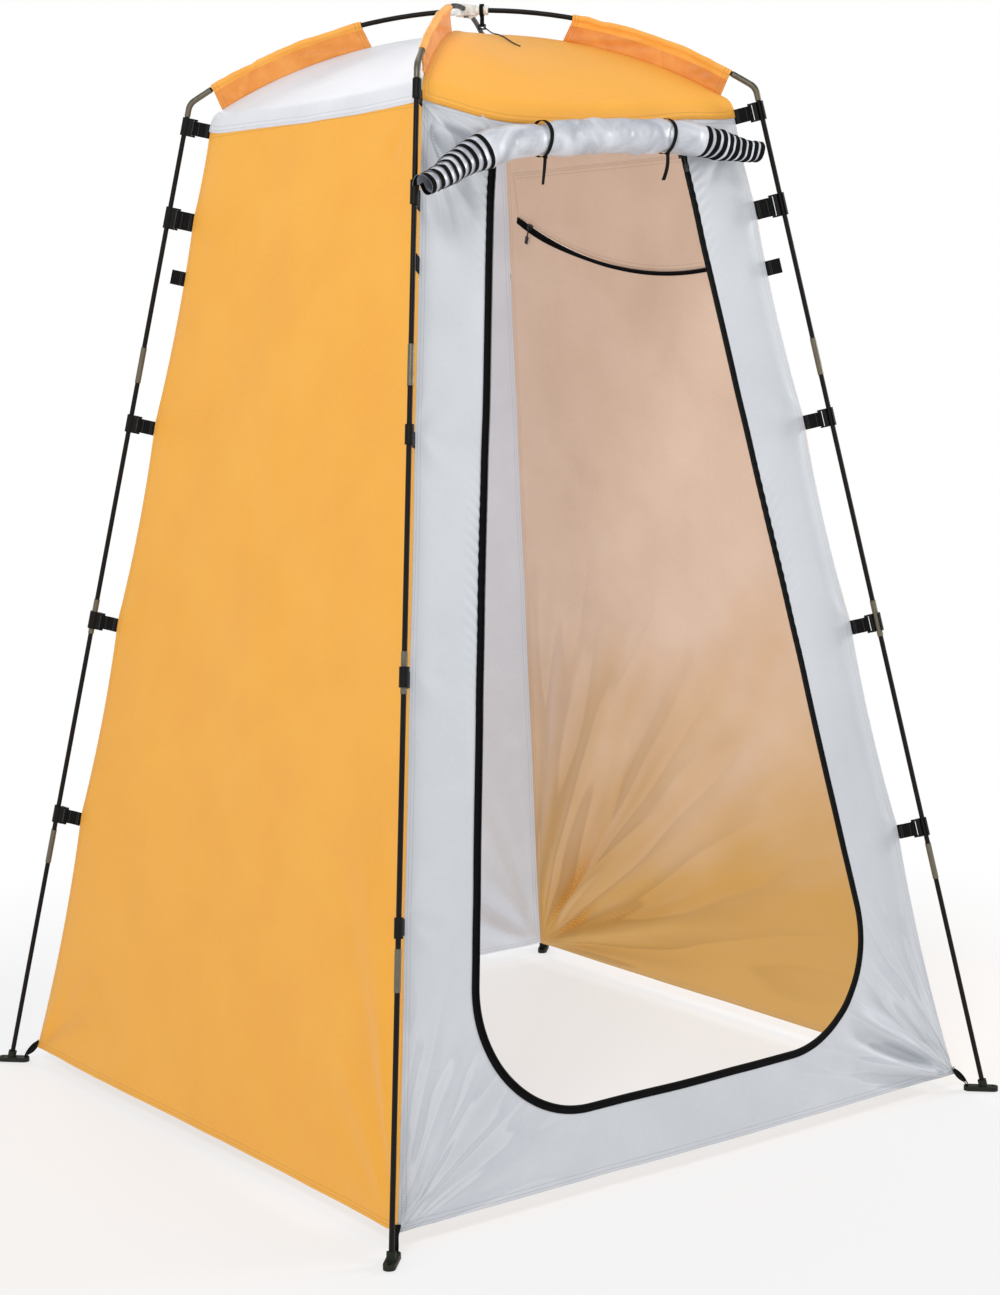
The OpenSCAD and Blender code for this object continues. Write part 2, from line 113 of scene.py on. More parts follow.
def creases(X, Z, segs):
    """Sum of fold lines. Each is (x0, z0, x1, z1, height, width at start, width at end)."""
    out = np.zeros(np.broadcast(X, Z).shape)
    for x0, z0, x1, z1, amp, w0, w1 in segs:
        dx, dz = x1 - x0, z1 - z0
        ll = dx * dx + dz * dz
        t = ((X - x0) * dx + (Z - z0) * dz) / ll
        tc = np.clip(t, 0, 1)
        d = ((X - x0) * dz - (Z - z0) * dx) / sqrt(ll)
        over = np.hypot(X - (x0 + tc * dx), Z - (z0 + tc * dz))
        far = np.where((t < 0) | (t > 1), over, np.abs(d))
        w = w0 + (w1 - w0) * tc
        env = np.clip(tc * 5, 0, 1) * (1 - tc) ** 0.7
        out = out + amp * env * (np.exp(-((far / w) ** 2)) - 0.45 * np.exp(-(((d - 2.0 * w) / (1.2 * w)) ** 2)) * ((t > 0) & (t < 1)))
    return out


# ------------------------------------------------------------------ node materials
def new_mat(name):
    m = bpy.data.materials.new(name)
    m.use_nodes = True
    nt = m.node_tree
    for n in list(nt.nodes):
        nt.nodes.remove(n)
    out = nt.nodes.new("ShaderNodeOutputMaterial")
    bsdf = nt.nodes.new("ShaderNodeBsdfPrincipled")
    nt.links.new(bsdf.outputs[0], out.inputs[0])
    return m, nt, bsdf


def node(nt, kind, **kw):
    n = nt.nodes.new(kind)
    for k, v in kw.items():
        if k in n.inputs:
            n.inputs[k].default_value = v
        else:
            setattr(n, k, v)
    return n


def ramp(nt, src, stops):
    r = nt.nodes.new("ShaderNodeValToRGB")
    el = r.color_ramp.elements
    while len(el) > 1:
        el.remove(el[0])
    el[0].position, el[0].color = stops[0][0], (*stops[0][1], 1)
    for p, c in stops[1:]:
        e = el.new(p)
        e.color = (*c, 1)
    nt.links.new(src, r.inputs[0])
    return r.outputs[0]


def math_node(nt, op, a, b=None, c=None):
    n = nt.nodes.new("ShaderNodeMath")
    n.operation = op
    for i, v in enumerate((a, b, c)):
        if v is None:
            continue
        if isinstance(v, (int, float)):
            n.inputs[i].default_value = v
        else:
            nt.links.new(v, n.inputs[i])
    return n.outputs[0]


def mixc(nt, fac, a, b, blend="MIX"):
    n = nt.nodes.new("ShaderNodeMix")
    n.data_type = "RGBA"
    n.blend_type = blend
    ins = [s for s in n.inputs if s.enabled]
    for s, v in zip((n.inputs["Factor"], *[i for i in n.inputs if i.type == "RGBA"]), (fac, a, b)):
        if isinstance(v, (int, float)):
            s.default_value = v
        elif isinstance(v, tuple):
            s.default_value = (*v, 1)
        else:
            nt.links.new(v, s)
    return [o for o in n.outputs if o.type == "RGBA"][0]


def lin(r, g, b):
    """Display colour 0..255 to linear."""
    f = lambda c: c / 12.92 if c <= 0.04045 else ((c + 0.055) / 1.055) ** 2.4
    return tuple(f(v / 255) for v in (r, g, b))


def shade(c, k):
    return tuple(min(1, v * k) for v in c)


def cloth_mat(name, base, dark, lightc, rough=0.62, weave=1500, sheen=0.2, crinkle=0.0, stitch=True, mottle=6.0, spec=0.35,
              backlight_radial=None, painted_glow=0.0, contrast=0.27, twist=0.0, shaded_fans=()):
    """Coated polyester: plain weave bump, soft colour mottle, a row of stitches beside each seam."""
    m, nt, b = new_mat(name)
    uv = node(nt, "ShaderNodeUVMap", uv_map="UVMap")
    mp = nt.nodes.new("ShaderNodeMapping")
    nt.links.new(uv.outputs[0], mp.inputs[0])
    n1 = node(nt, "ShaderNodeTexNoise", Scale=mottle, Detail=4.0, Roughness=0.55, Distortion=twist)
    nt.links.new(uv.outputs[0], n1.inputs["Vector"])
    col = ramp(nt, n1.outputs[0], [(0.5 - contrast, dark), (0.5, base), (0.5 + contrast, lightc)])
    n2 = node(nt, "ShaderNodeTexNoise", Scale=mottle * 22, Detail=3.0, Roughness=0.6)
    nt.links.new(uv.outputs[0], n2.inputs["Vector"])
    col = mixc(nt, 0.10, col, ramp(nt, n2.outputs[0], [(0.3, shade(base, 0.82)), (0.7, shade(base, 1.12))]))
    if backlight_radial is not None:
        # painted light: ochre streaks of backlight through the orange cloth that spread out from one corner of the
        # panel
        cx, cy, c2, reach = backlight_radial
        sep = nt.nodes.new("ShaderNodeSeparateXYZ")
        nt.links.new(uv.outputs[0], sep.inputs[0])
        dx = math_node(nt, "SUBTRACT", sep.outputs[0], cx)
        dy = math_node(nt, "SUBTRACT", sep.outputs[1], cy)
        ang = math_node(nt, "ARCTAN2", dy, dx)
        dist = math_node(nt, "SQRT", math_node(nt, "ADD", math_node(nt, "MULTIPLY", dx, dx), math_node(nt, "MULTIPLY", dy, dy)))
        comb = nt.nodes.new("ShaderNodeCombineXYZ")
        nt.links.new(math_node(nt, "MULTIPLY", ang, 3.2), comb.inputs[0])
        nt.links.new(math_node(nt, "MULTIPLY", dist, 1.1), comb.inputs[1])
        nr = node(nt, "ShaderNodeTexNoise", Scale=1.9, Detail=2.5, Roughness=0.5)
        nt.links.new(comb.outputs[0], nr.inputs["Vector"])
        # the painted ochre backlight grows towards the hem and away from the corner the folds run to
        grow = math_node(nt, "SUBTRACT", 1.05, math_node(nt, "MULTIPLY", sep.outputs[1], 1.35))
        grow = math_node(nt, "ADD", grow, math_node(nt, "MULTIPLY", math_node(nt, "SUBTRACT", cx, sep.outputs[0]), 0.30))
        backlight_mask = math_node(nt, "ADD", grow, math_node(nt, "MULTIPLY", math_node(nt, "SUBTRACT", nr.outputs[0], 0.5), 0.9))
        backlight_mask = ramp(nt, backlight_mask, [(0.15, (0, 0, 0)), (0.95, (1, 1, 1))])
        col = mixc(nt, math_node(nt, "MULTIPLY", backlight_mask, 0.92), col, c2)
        # painted highlight and painted shade of fold lines that run to the same corner, paler on one side and darker on
        # the other
        comb2 = nt.nodes.new("ShaderNodeCombineXYZ")
        nt.links.new(math_node(nt, "MULTIPLY", ang, 7.5), comb2.inputs[0])
        nt.links.new(math_node(nt, "MULTIPLY", dist, 1.4), comb2.inputs[1])
        nf = node(nt, "ShaderNodeTexNoise", Scale=1.0, Detail=1.0, Roughness=0.4)
        nt.links.new(comb2.outputs[0], nf.inputs["Vector"])
        line = ramp(nt, nf.outputs[0], [(0.30, (1, 1, 1)), (0.43, (0.84, 0.82, 0.78)), (0.475, (0.78, 0.75, 0.70)), (0.50, (1.0, 1.0, 1.0)),
                                        (0.56, (1.0, 0.99, 0.97)), (0.66, (0.88, 0.86, 0.83)), (0.72, (1, 1, 1))])
        fade = ramp(nt, dist, [(0.0, (0.3, 0.3, 0.3)), (0.10, (0.95, 0.95, 0.95)), (0.55, (0.60, 0.60, 0.60)), (1.0, (0, 0, 0))])
        col = mixc(nt, fade, col, line, "MULTIPLY")
    relief = None
    for cx, cy, reach, per_rad, seed in shaded_fans:
        # fine folds that leave a sewn corner: painted highlight on one side and painted shade on the other, over a bump
        # relief, fading with distance
        sep = nt.nodes.new("ShaderNodeSeparateXYZ")
        nt.links.new(uv.outputs[0], sep.inputs[0])
        dx = math_node(nt, "SUBTRACT", sep.outputs[0], cx)
        dy = math_node(nt, "SUBTRACT", sep.outputs[1], cy)
        ang = math_node(nt, "ARCTAN2", dy, dx)
        dist = math_node(nt, "SQRT", math_node(nt, "ADD", math_node(nt, "MULTIPLY", dx, dx), math_node(nt, "MULTIPLY", dy, dy)))
        comb = nt.nodes.new("ShaderNodeCombineXYZ")
        nt.links.new(math_node(nt, "MULTIPLY", ang, per_rad), comb.inputs[0])
        nt.links.new(math_node(nt, "MULTIPLY", dist, 5.0), comb.inputs[1])
        comb.inputs[2].default_value = seed
        nf = node(nt, "ShaderNodeTexNoise", Scale=1.0, Detail=1.0, Roughness=0.4)
        nt.links.new(comb.outputs[0], nf.inputs["Vector"])
        line = ramp(nt, nf.outputs[0], [(0.28, (0.5, 0.5, 0.5)), (0.42, (0.40, 0.40, 0.41)), (0.49, (0.36, 0.37, 0.38)), (0.53, (0.66, 0.66, 0.66)), (0.60, (0.54, 0.54, 0.54)), (0.75, (0.5, 0.5, 0.5))])
        fade = ramp(nt, math_node(nt, "DIVIDE", dist, reach), [(0.0, (0, 0, 0)), (0.12, (0.9, 0.9, 0.9)), (0.55, (0.6, 0.6, 0.6)), (1.0, (0, 0, 0))])
        col = mixc(nt, math_node(nt, "MULTIPLY", fade, 0.62), col, line, "OVERLAY")
        h = math_node(nt, "MULTIPLY", nf.outputs[0], fade)
        relief = h if relief is None else math_node(nt, "ADD", relief, h)
    wa = node(nt, "ShaderNodeTexWave", Scale=weave / 6.283, Distortion=0.0)
    wa.wave_type, wa.bands_direction = "BANDS", "X"
    wb = node(nt, "ShaderNodeTexWave", Scale=weave / 6.283, Distortion=0.0)
    wb.wave_type, wb.bands_direction = "BANDS", "Y"
    nt.links.new(uv.outputs[0], wa.inputs["Vector"])
    nt.links.new(uv.outputs[0], wb.inputs["Vector"])
    weave_h = math_node(nt, "ADD", wa.outputs["Fac"], wb.outputs["Fac"])
    n3 = node(nt, "ShaderNodeTexNoise", Scale=34.0, Detail=5.0, Roughness=0.62)
    nt.links.new(uv.outputs[0], n3.inputs["Vector"])
    height = math_node(nt, "ADD", math_node(nt, "MULTIPLY", weave_h, 0.04), math_node(nt, "MULTIPLY", n3.outputs[0], 0.25 + crinkle))
    if crinkle > 0:
        v = node(nt, "ShaderNodeTexVoronoi", Scale=28.0)
        v.feature = "DISTANCE_TO_EDGE"
        nt.links.new(uv.outputs[0], v.inputs["Vector"])
        height = math_node(nt, "ADD", height, math_node(nt, "MULTIPLY", v.outputs["Distance"], crinkle * 2.0))
    if stitch:
        su = node(nt, "ShaderNodeUVMap", uv_map="Seam")
        ss = nt.nodes.new("ShaderNodeSeparateXYZ")
        nt.links.new(su.outputs[0], ss.inputs[0])
        for off in (0.005, 0.011):
            line = math_node(nt, "COMPARE", ss.outputs[1], off, 0.0007)
            dash = math_node(nt, "LESS_THAN", math_node(nt, "FRACT", math_node(nt, "MULTIPLY", ss.outputs[0], 260.0)), 0.66)
            mk = math_node(nt, "MULTIPLY", line, dash)
            col = mixc(nt, math_node(nt, "MULTIPLY", mk, 0.55), col, shade(base, 0.55))
            height = math_node(nt, "SUBTRACT", height, math_node(nt, "MULTIPLY", mk, 0.5))
    bump = node(nt, "ShaderNodeBump", Strength=0.35, Distance=0.0012)
    nt.links.new(height, bump.inputs["Height"])
    if relief is not None:
        fold = node(nt, "ShaderNodeBump", Strength=0.9, Distance=0.008)
        nt.links.new(relief, fold.inputs["Height"])
        nt.links.new(fold.outputs[0], bump.inputs["Normal"])
    nt.links.new(bump.outputs[0], b.inputs["Normal"])
    nt.links.new(col, b.inputs["Base Color"])
    rr = ramp(nt, n1.outputs[0], [(0.3, (rough - 0.07,) * 3), (0.7, (rough + 0.08,) * 3)])
    nt.links.new(rr, b.inputs["Roughness"])
    b.inputs["Specular IOR Level"].default_value = spec
    b.inputs["Sheen Weight"].default_value = sheen
    b.inputs["Sheen Roughness"].default_value = 0.45
    if painted_glow > 0:
        # painted light: emission stands in for daylight that comes through the thin cloth
        nt.links.new(col, b.inputs["Emission Color"])
        b.inputs["Emission Strength"].default_value = painted_glow
    return m


def web_mat(name, base=(0.0075, 0.0075, 0.008), pitch=0.0016):
    """Woven webbing: ribs across the strap and a fine twill along it, from the strap's own UV."""
    m, nt, b = new_mat(name)
    uv = node(nt, "ShaderNodeUVMap", uv_map="UVMap")
    wa = node(nt, "ShaderNodeTexWave", Scale=1 / pitch / 3.14, Distortion=0.3)
    wa.wave_type, wa.bands_direction = "BANDS", "Y"
    wa.inputs["Detail"].default_value = 1.0
    wb = node(nt, "ShaderNodeTexWave", Scale=1 / pitch / 3.14, Distortion=0.3)
    wb.wave_type, wb.bands_direction = "BANDS", "DIAGONAL"
    nt.links.new(uv.outputs[0], wa.inputs["Vector"])
    nt.links.new(uv.outputs[0], wb.inputs["Vector"])
    h = math_node(nt, "ADD", math_node(nt, "MULTIPLY", wa.outputs["Fac"], 0.6), math_node(nt, "MULTIPLY", wb.outputs["Fac"], 0.4))
    n1 = node(nt, "ShaderNodeTexNoise", Scale=240.0, Detail=3.0)
    nt.links.new(uv.outputs[0], n1.inputs["Vector"])
    # painted shade in the weave's hollows and painted highlight on its ribs, from the bump height
    col = ramp(nt, h, [(0.1, shade(base, 0.55)), (0.6, base), (1.0, shade(base, 1.9))])
    col = mixc(nt, 0.25, col, ramp(nt, n1.outputs[0], [(0.35, shade(base, 0.6)), (0.7, shade(base, 2.4))]))
    bump = node(nt, "ShaderNodeBump", Strength=0.7, Distance=0.0006)
    nt.links.new(h, bump.inputs["Height"])
    nt.links.new(bump.outputs[0], b.inputs["Normal"])
    nt.links.new(col, b.inputs["Base Color"])
    b.inputs["Roughness"].default_value = 0.8
    b.inputs["Specular IOR Level"].default_value = 0.08
    return m


def hard_mat(name, base, rough, metal=0.0, grain=90.0, bump_d=0.0002, vary=0.18, spec=0.5, stretch=(1, 1, 1), wear=None, coat=0.0):
    """Moulded plastic, lacquered tube or drawn metal, in object space."""
    m, nt, b = new_mat(name)
    tc = nt.nodes.new("ShaderNodeTexCoord")
    mp = nt.nodes.new("ShaderNodeMapping")
    mp.inputs["Scale"].default_value = stretch
    nt.links.new(tc.outputs["Object"], mp.inputs[0])
    n1 = node(nt, "ShaderNodeTexNoise", Scale=grain, Detail=5.0, Roughness=0.6)
    n2 = node(nt, "ShaderNodeTexNoise", Scale=grain * 9, Detail=2.0)
    nt.links.new(mp.outputs[0], n1.inputs["Vector"])
    nt.links.new(mp.outputs[0], n2.inputs["Vector"])
    col = ramp(nt, n1.outputs[0], [(0.3, shade(base, 1 - vary)), (0.7, shade(base, 1 + vary))])
    if wear is not None:
        col = mixc(nt, ramp(nt, n1.outputs[0], [(0.62, (0, 0, 0)), (0.72, (0.5, 0.5, 0.5))]), col, wear)
    nt.links.new(col, b.inputs["Base Color"])
    rr = ramp(nt, n1.outputs[0], [(0.3, (max(0.04, rough - 0.08),) * 3), (0.7, (min(1, rough + 0.1),) * 3)])
    nt.links.new(rr, b.inputs["Roughness"])
    bump = node(nt, "ShaderNodeBump", Strength=0.4, Distance=bump_d)
    nt.links.new(n2.outputs[0], bump.inputs["Height"])
    nt.links.new(bump.outputs[0], b.inputs["Normal"])
    b.inputs["Metallic"].default_value = metal
    b.inputs["Specular IOR Level"].default_value = spec
    b.inputs["Coat Weight"].default_value = coat
    return m


ORANGE, ORANGE_D, ORANGE_L = lin(249, 177, 62), lin(245, 170, 54), lin(251, 183, 72)
SILVER, SILVER_D, SILVER_L = lin(203, 206, 211), lin(196, 200, 206), lin(209, 212, 217)
ROOF_O = lin(247, 176, 66)
M_ORANGE = cloth_mat("orange_outer", ORANGE, ORANGE_D, ORANGE_L, rough=0.6, sheen=0.15)
M_SILVER = cloth_mat("silver_outer", SILVER, SILVER_D, SILVER_L, rough=0.5, sheen=0.1, spec=0.45)
# silver_front: its corner fold patterns paint highlight and shade onto the folds as well as bumping them
M_SILVER_F = cloth_mat("silver_front", SILVER, SILVER_D, SILVER_L, rough=0.5, sheen=0.1, spec=0.45,
                       shaded_fans=[(-0.615, 0.015, 0.42, 10.0, 1.7), (0.615, 0.015, 0.42, 11.0, 5.1), (-0.34, 1.715, 0.24, 8.0, 9.4)])
M_WHITE = cloth_mat("roof_white", lin(226, 228, 233), lin(216, 219, 226), lin(233, 235, 239), rough=0.5, sheen=0.1, spec=0.3)
M_FIN = cloth_mat("sleeve_orange", lin(246, 172, 72), lin(236, 158, 60), lin(252, 186, 90), rough=0.6, mottle=14.0)
# fin material: a darker copy of the sleeve orange, painted shade on the backlit fins
M_FIN_SHADED = cloth_mat("fin_orange_shaded", lin(232, 146, 62), lin(216, 124, 44), lin(244, 168, 84), rough=0.5, mottle=16.0, twist=1.2)
M_ROOF_O = cloth_mat("roof_orange", ROOF_O, shade(ROOF_O, 0.95), shade(ROOF_O, 1.05), rough=0.6, sheen=0.1)
# orange_inner: the tan base is partly painted light, the inner face as lit through the orange cloth; its ochre streaks
# are painted backlight and its emission is painted light too
M_TAN = cloth_mat("orange_inner", lin(200, 176, 157), lin(193, 168, 148), lin(206, 184, 166), rough=0.55, sheen=0.1,
                  backlight_radial=(0.60, 0.03, lin(184, 140, 62), 1.0), painted_glow=0.40)
# silver_inner: its emission is painted light standing in for daylight through the cloth
M_GREY_IN = cloth_mat("silver_inner", lin(190, 196, 206), lin(183, 189, 199), lin(197, 203, 213), rough=0.55, sheen=0.1, painted_glow=0.42)
# door_silver: its strong dark and pale mottle is painted shade and painted reflection on the crinkled foil
M_CRINKLE_SHADED = cloth_mat("door_silver", lin(196, 199, 206), lin(150, 154, 165), lin(226, 229, 235), rough=0.34, sheen=0.0, crinkle=0.9,
                      stitch=False, mottle=13.0, spec=0.6, contrast=0.22, twist=1.1)
M_WEB = web_mat("webbing")
M_TAPE = web_mat("zip_tape", base=(0.0035, 0.0035, 0.004), pitch=0.0011)
M_COIL = hard_mat("zip_coil", (0.005, 0.005, 0.006), 0.55, grain=300.0, spec=0.12)
M_POLE = hard_mat("pole_black", (0.007, 0.005, 0.004), 0.42, grain=40.0, stretch=(1, 1, 0.12), bump_d=0.0001, spec=0.16)
M_STEEL = hard_mat("steel", lin(112, 107, 92), 0.42, metal=0.75, grain=220.0, stretch=(1, 1, 0.05), bump_d=0.00015, wear=lin(80, 75, 64))
M_HUB = hard_mat("hub_white", lin(236, 236, 232), 0.42, grain=60.0, vary=0.05)
M_RIVET = hard_mat("rivet", lin(120, 120, 118), 0.3, metal=0.9, grain=200.0)
M_CLIP = hard_mat("clip_black", (0.006, 0.0058, 0.0055), 0.5, grain=120.0, vary=0.3, wear=(0.02, 0.019, 0.018), spec=0.15)
M_FOOT = hard_mat("foot_dark", lin(34, 38, 29), 0.6, grain=70.0, vary=0.35, wear=lin(84, 90, 72), bump_d=0.0006, spec=0.2)
M_CORD = hard_mat("shock_cord", (0.03, 0.03, 0.032), 0.8, grain=600.0, bump_d=0.0004, stretch=(1, 1, 0.4))
M_ZIPMETAL = hard_mat("zip_slider", (0.045, 0.045, 0.048), 0.34, metal=0.6, grain=150.0, wear=lin(120, 120, 118))


# ------------------------------------------------------------------ mesh helpers
def mesh_object(name, verts, faces, mats, fmat, uvs=None, seams=None, smooth_shade=True):
    """uvs and seams: one (u, v) per face corner, in face order."""
    me = bpy.data.meshes.new(name)
    me.from_pydata([tuple(v) for v in verts], [], [tuple(f) for f in faces])
    for m in mats:
        me.materials.append(m)
    me.polygons.foreach_set("material_index", np.asarray(fmat, np.int32))
    me.polygons.foreach_set("use_smooth", np.full(len(me.polygons), smooth_shade))
    for layer, data in (("UVMap", uvs), ("Seam", seams)):
        if data is not None:
            l = me.uv_layers.new(name=layer)
            l.data.foreach_set("uv", np.asarray(data, np.float32).reshape(-1))
    me.update()
    ob = bpy.data.objects.new(name, me)
    bpy.context.scene.collection.objects.link(ob)
    return ob


def grid_normals(P, loop_u=False):
    if loop_u:
        du = np.roll(P, -1, 0) - np.roll(P, 1, 0)
    else:
        du = np.gradient(P, axis=0)
    dv = np.gradient(P, axis=1)
    n = np.cross(du, dv)
    ln = np.linalg.norm(n, axis=2, keepdims=True)
    return n / np.maximum(ln, 1e-12)


def quads_of(nu, nv, loop=False):
    """Quads of a grid whose point (i, j) has index i * nv + j. With loop the i direction closes on itself."""
    i, j = np.meshgrid(np.arange(nu if loop else nu - 1), np.arange(nv - 1), indexing="ij")
    k = (i + 1) % nu
    return np.stack([i * nv + j, k * nv + j, k * nv + j + 1, i * nv + j + 1], -1).reshape(-1, 4)


class Cloth:
    """One piece of thin closed cloth, built from patches. A patch is outer points and quads that face outwards."""

    def __init__(self, mats):
        self.mats, self.v, self.f, self.m, self.uv, self.se, self.n = mats, [], [], [], [], [], 0

    def patch(self, P, quads, thick, uv, seam=None, outer=0, inner=1, rim=0, fmat=None, imat=None, flip=False):
        P, quads = np.asarray(P, float).reshape(-1, 3), np.asarray(quads)
        uv = np.asarray(uv, float).reshape(-1, 2)
        seam = np.full((len(P), 2), 1.0) if seam is None else np.asarray(seam, float).reshape(-1, 2)
        used, inv = np.unique(quads, return_inverse=True)
        quads = inv.reshape(-1, 4)
        P, uv, seam = P[used], uv[used], seam[used]
        if flip:
            quads = quads[:, ::-1]
        N = np.zeros_like(P)
        fn = np.cross(P[quads[:, 2]] - P[quads[:, 0]], P[quads[:, 3]] - P[quads[:, 1]])
        for c in range(4):
            np.add.at(N, quads[:, c], fn)
        N /= np.maximum(np.linalg.norm(N, axis=1, keepdims=True), 1e-15)
        Q = P - N * thick
        n = len(P)
        ea, eb = quads.reshape(-1), np.roll(quads, -1, 1).reshape(-1)
        open_edge = ~np.isin(ea.astype(np.int64) * n + eb, eb.astype(np.int64) * n + ea)
        ea, eb = ea[open_edge], eb[open_edge]
        rim_q = np.stack([eb, ea, ea + n, eb + n], -1)
        rim_i = np.stack([eb, ea, ea, eb], -1)
        back = quads[:, ::-1] + n
        self.v += [P, Q]
        self.f += [quads + self.n, back + self.n, rim_q + self.n]
        self.uv += [uv[quads].reshape(-1, 2), uv[quads[:, ::-1]].reshape(-1, 2), uv[rim_i].reshape(-1, 2)]
        self.se += [seam[quads].reshape(-1, 2), seam[quads[:, ::-1]].reshape(-1, 2), seam[rim_i].reshape(-1, 2)]
        self.m += [np.full(len(quads), outer) if fmat is None else np.asarray(fmat).reshape(-1),
                   np.full(len(quads), inner) if imat is None else np.asarray(imat).reshape(-1), np.full(len(rim_q), rim)]
        self.n += 2 * n

    def grid(self, P, thick, uv=None, keep=None, loop=False, **kw):
        nu, nv = P.shape[:2]
        if uv is None:
            su = np.concatenate([[0], np.cumsum(np.linalg.norm(np.diff(P[:, nv // 2], axis=0), axis=1))])
            sv = np.concatenate([[0], np.cumsum(np.linalg.norm(np.diff(P[nu // 2], axis=0), axis=1))])
            uv = np.stack(np.meshgrid(su, sv, indexing="ij"), -1)
        q = quads_of(nu, nv, loop)
        if keep is not None:
            k = keep.reshape(-1)
            q = q[k]
            for w in ("fmat", "imat"):
                if kw.get(w) is not None:
                    kw[w] = np.asarray(kw[w]).reshape(-1)[k]
        self.patch(P, q, thick, uv, **kw)

    def ribbon(self, path, across, width, thick, outer=0, closed=False):
        """A flat band along path. across is the unit direction of its width, one or one per point."""
        path = np.asarray(path, float)
        across = np.broadcast_to(np.asarray(across, float), path.shape)
        w = np.broadcast_to(np.asarray(width, float), len(path))
        cols = np.array([-0.5, -0.46, -0.2, 0.0, 0.2, 0.46, 0.5])
        P = path[:, None] + across[:, None] * (cols[None, :, None] * w[:, None, None])
        along = np.concatenate([[0], np.cumsum(np.linalg.norm(np.diff(path, axis=0), axis=1))])
        uv = np.stack(np.broadcast_arrays(cols[None, :] * w[:, None], along[:, None]), -1)
        self.grid(P, thick, uv=uv, loop=closed, outer=outer, inner=outer, rim=outer)

    def blocks(self, centres, ax, ay, az, sizes, mat=0):
        """Small boxes, such as stitches and zip teeth: half sizes along three unit directions per box."""
        c = np.asarray(centres, float).reshape(-1, 3)
        ax, ay, az = (np.broadcast_to(np.asarray(v, float), c.shape) for v in (ax, ay, az))
        sg = np.array([[-1, -1, -1], [1, -1, -1], [1, 1, -1], [-1, 1, -1], [-1, -1, 1], [1, -1, 1], [1, 1, 1], [-1, 1, 1]], float)
        V = c[:, None] + sg[None, :, 0:1] * ax[:, None] * sizes[0] + sg[None, :, 1:2] * ay[:, None] * sizes[1] + sg[None, :, 2:3] * az[:, None] * sizes[2]
        F = np.array([[0, 3, 2, 1], [4, 5, 6, 7], [0, 1, 5, 4], [1, 2, 6, 5], [2, 3, 7, 6], [3, 0, 4, 7]])
        f = (np.arange(len(c))[:, None, None] * 8 + F[None]).reshape(-1, 4)
        Vf = V.reshape(-1, 3)
        self.v.append(Vf)
        self.f.append(f + self.n)
        uv = np.stack([Vf[:, 0] + Vf[:, 1], Vf[:, 2]], -1)
        self.uv.append(uv[f].reshape(-1, 2))
        self.se.append(np.full((len(f) * 4, 2), 1.0))
        self.m.append(np.full(len(f), mat))
        self.n += len(Vf)

    def build(self, name):
        return mesh_object(name, np.concatenate(self.v), np.concatenate(self.f), self.mats, np.concatenate(self.m).astype(np.int32),
                           np.concatenate(self.uv), np.concatenate(self.se))


def tube_mesh(path, radius, sides=10, closed_ends=True):
    """Round rod along a path. radius is a number or one per point. Returns verts, faces."""
    P = np.asarray(path, float)
    n = len(P)
    R = np.full(n, radius) if np.ndim(radius) == 0 else np.asarray(radius)
    T = np.gradient(P, axis=0)
    T /= np.linalg.norm(T, axis=1, keepdims=True)
    up = np.array([0, 0, 1.0]) if abs(T[0][2]) < 0.9 else np.array([1.0, 0, 0])
    verts, faces = [], []
    a = np.cross(T[0], up)
    a /= np.linalg.norm(a)
    for i in range(n):
        a = a - T[i] * (a @ T[i])
        a /= np.linalg.norm(a)
        b = np.cross(T[i], a)
        for k in range(sides):
            t = 2 * pi * k / sides
            verts.append(P[i] + R[i] * (cos(t) * a + sin(t) * b))
    for i in range(n - 1):
        for k in range(sides):
            q = (k + 1) % sides
            faces.append((i * sides + k, i * sides + q, (i + 1) * sides + q, (i + 1) * sides + k))
    if closed_ends:
        faces.append(tuple(range(sides))[::-1])
        faces.append(tuple((n - 1) * sides + k for k in range(sides)))
    return verts, faces


def plain_uv(ob, scale=1.0):
    """Metric box UVs from the vertex positions, for pieces with no layout of their own."""
    me = ob.data
    l = me.uv_layers.get("UVMap") or me.uv_layers.new(name="UVMap")
    co = np.zeros(len(me.vertices) * 3)
    me.vertices.foreach_get("co", co)
    co = co.reshape(-1, 3)
    li = np.zeros(len(me.loops), np.int64)
    me.loops.foreach_get("vertex_index", li)
    c = co[li]
    l.data.foreach_set("uv", (np.stack([c[:, 0] + c[:, 1], c[:, 2]], -1) * scale).astype(np.float32).reshape(-1))


# ------------------------------------------------------------------ camera, light and floor
def make_camera():
    pos = np.array([-2.469, -3.377, 1.336])
    yaw, pitch, roll, f = math.radians(36.75), math.radians(7.44), math.radians(-0.83), 2356.3
    fwd = np.array([sin(yaw) * cos(pitch), cos(yaw) * cos(pitch), -sin(pitch)])
    right = np.array([cos(yaw), -sin(yaw), 0])
    up = np.cross(right, fwd)
    r2 = cos(roll) * right + sin(roll) * up
    u2 = -sin(roll) * right + cos(roll) * up
    cam = bpy.data.cameras.new("camera")
    cam.sensor_width = 36
    cam.lens = f * 36 / 1295
    cam.clip_end = 60
    ob = bpy.data.objects.new("camera", cam)
    bpy.context.scene.collection.objects.link(ob)
    m = Matrix(((r2[0], u2[0], -fwd[0], pos[0]), (r2[1], u2[1], -fwd[1], pos[1]), (r2[2], u2[2], -fwd[2], pos[2]), (0, 0, 0, 1)))
    ob.matrix_world = m
    bpy.context.scene.camera = ob


def area_light(name, loc, target, size, power, color=(1, 1, 1)):
    l = bpy.data.lights.new(name, "AREA")
    l.shape = "RECTANGLE"
    l.size, l.size_y = size
    l.energy = power
    l.color = color
    o = bpy.data.objects.new(name, l)
    bpy.context.scene.collection.objects.link(o)
    o.location = loc
    o.rotation_euler = (Vector(target) - Vector(loc)).to_track_quat("-Z", "Y").to_euler()


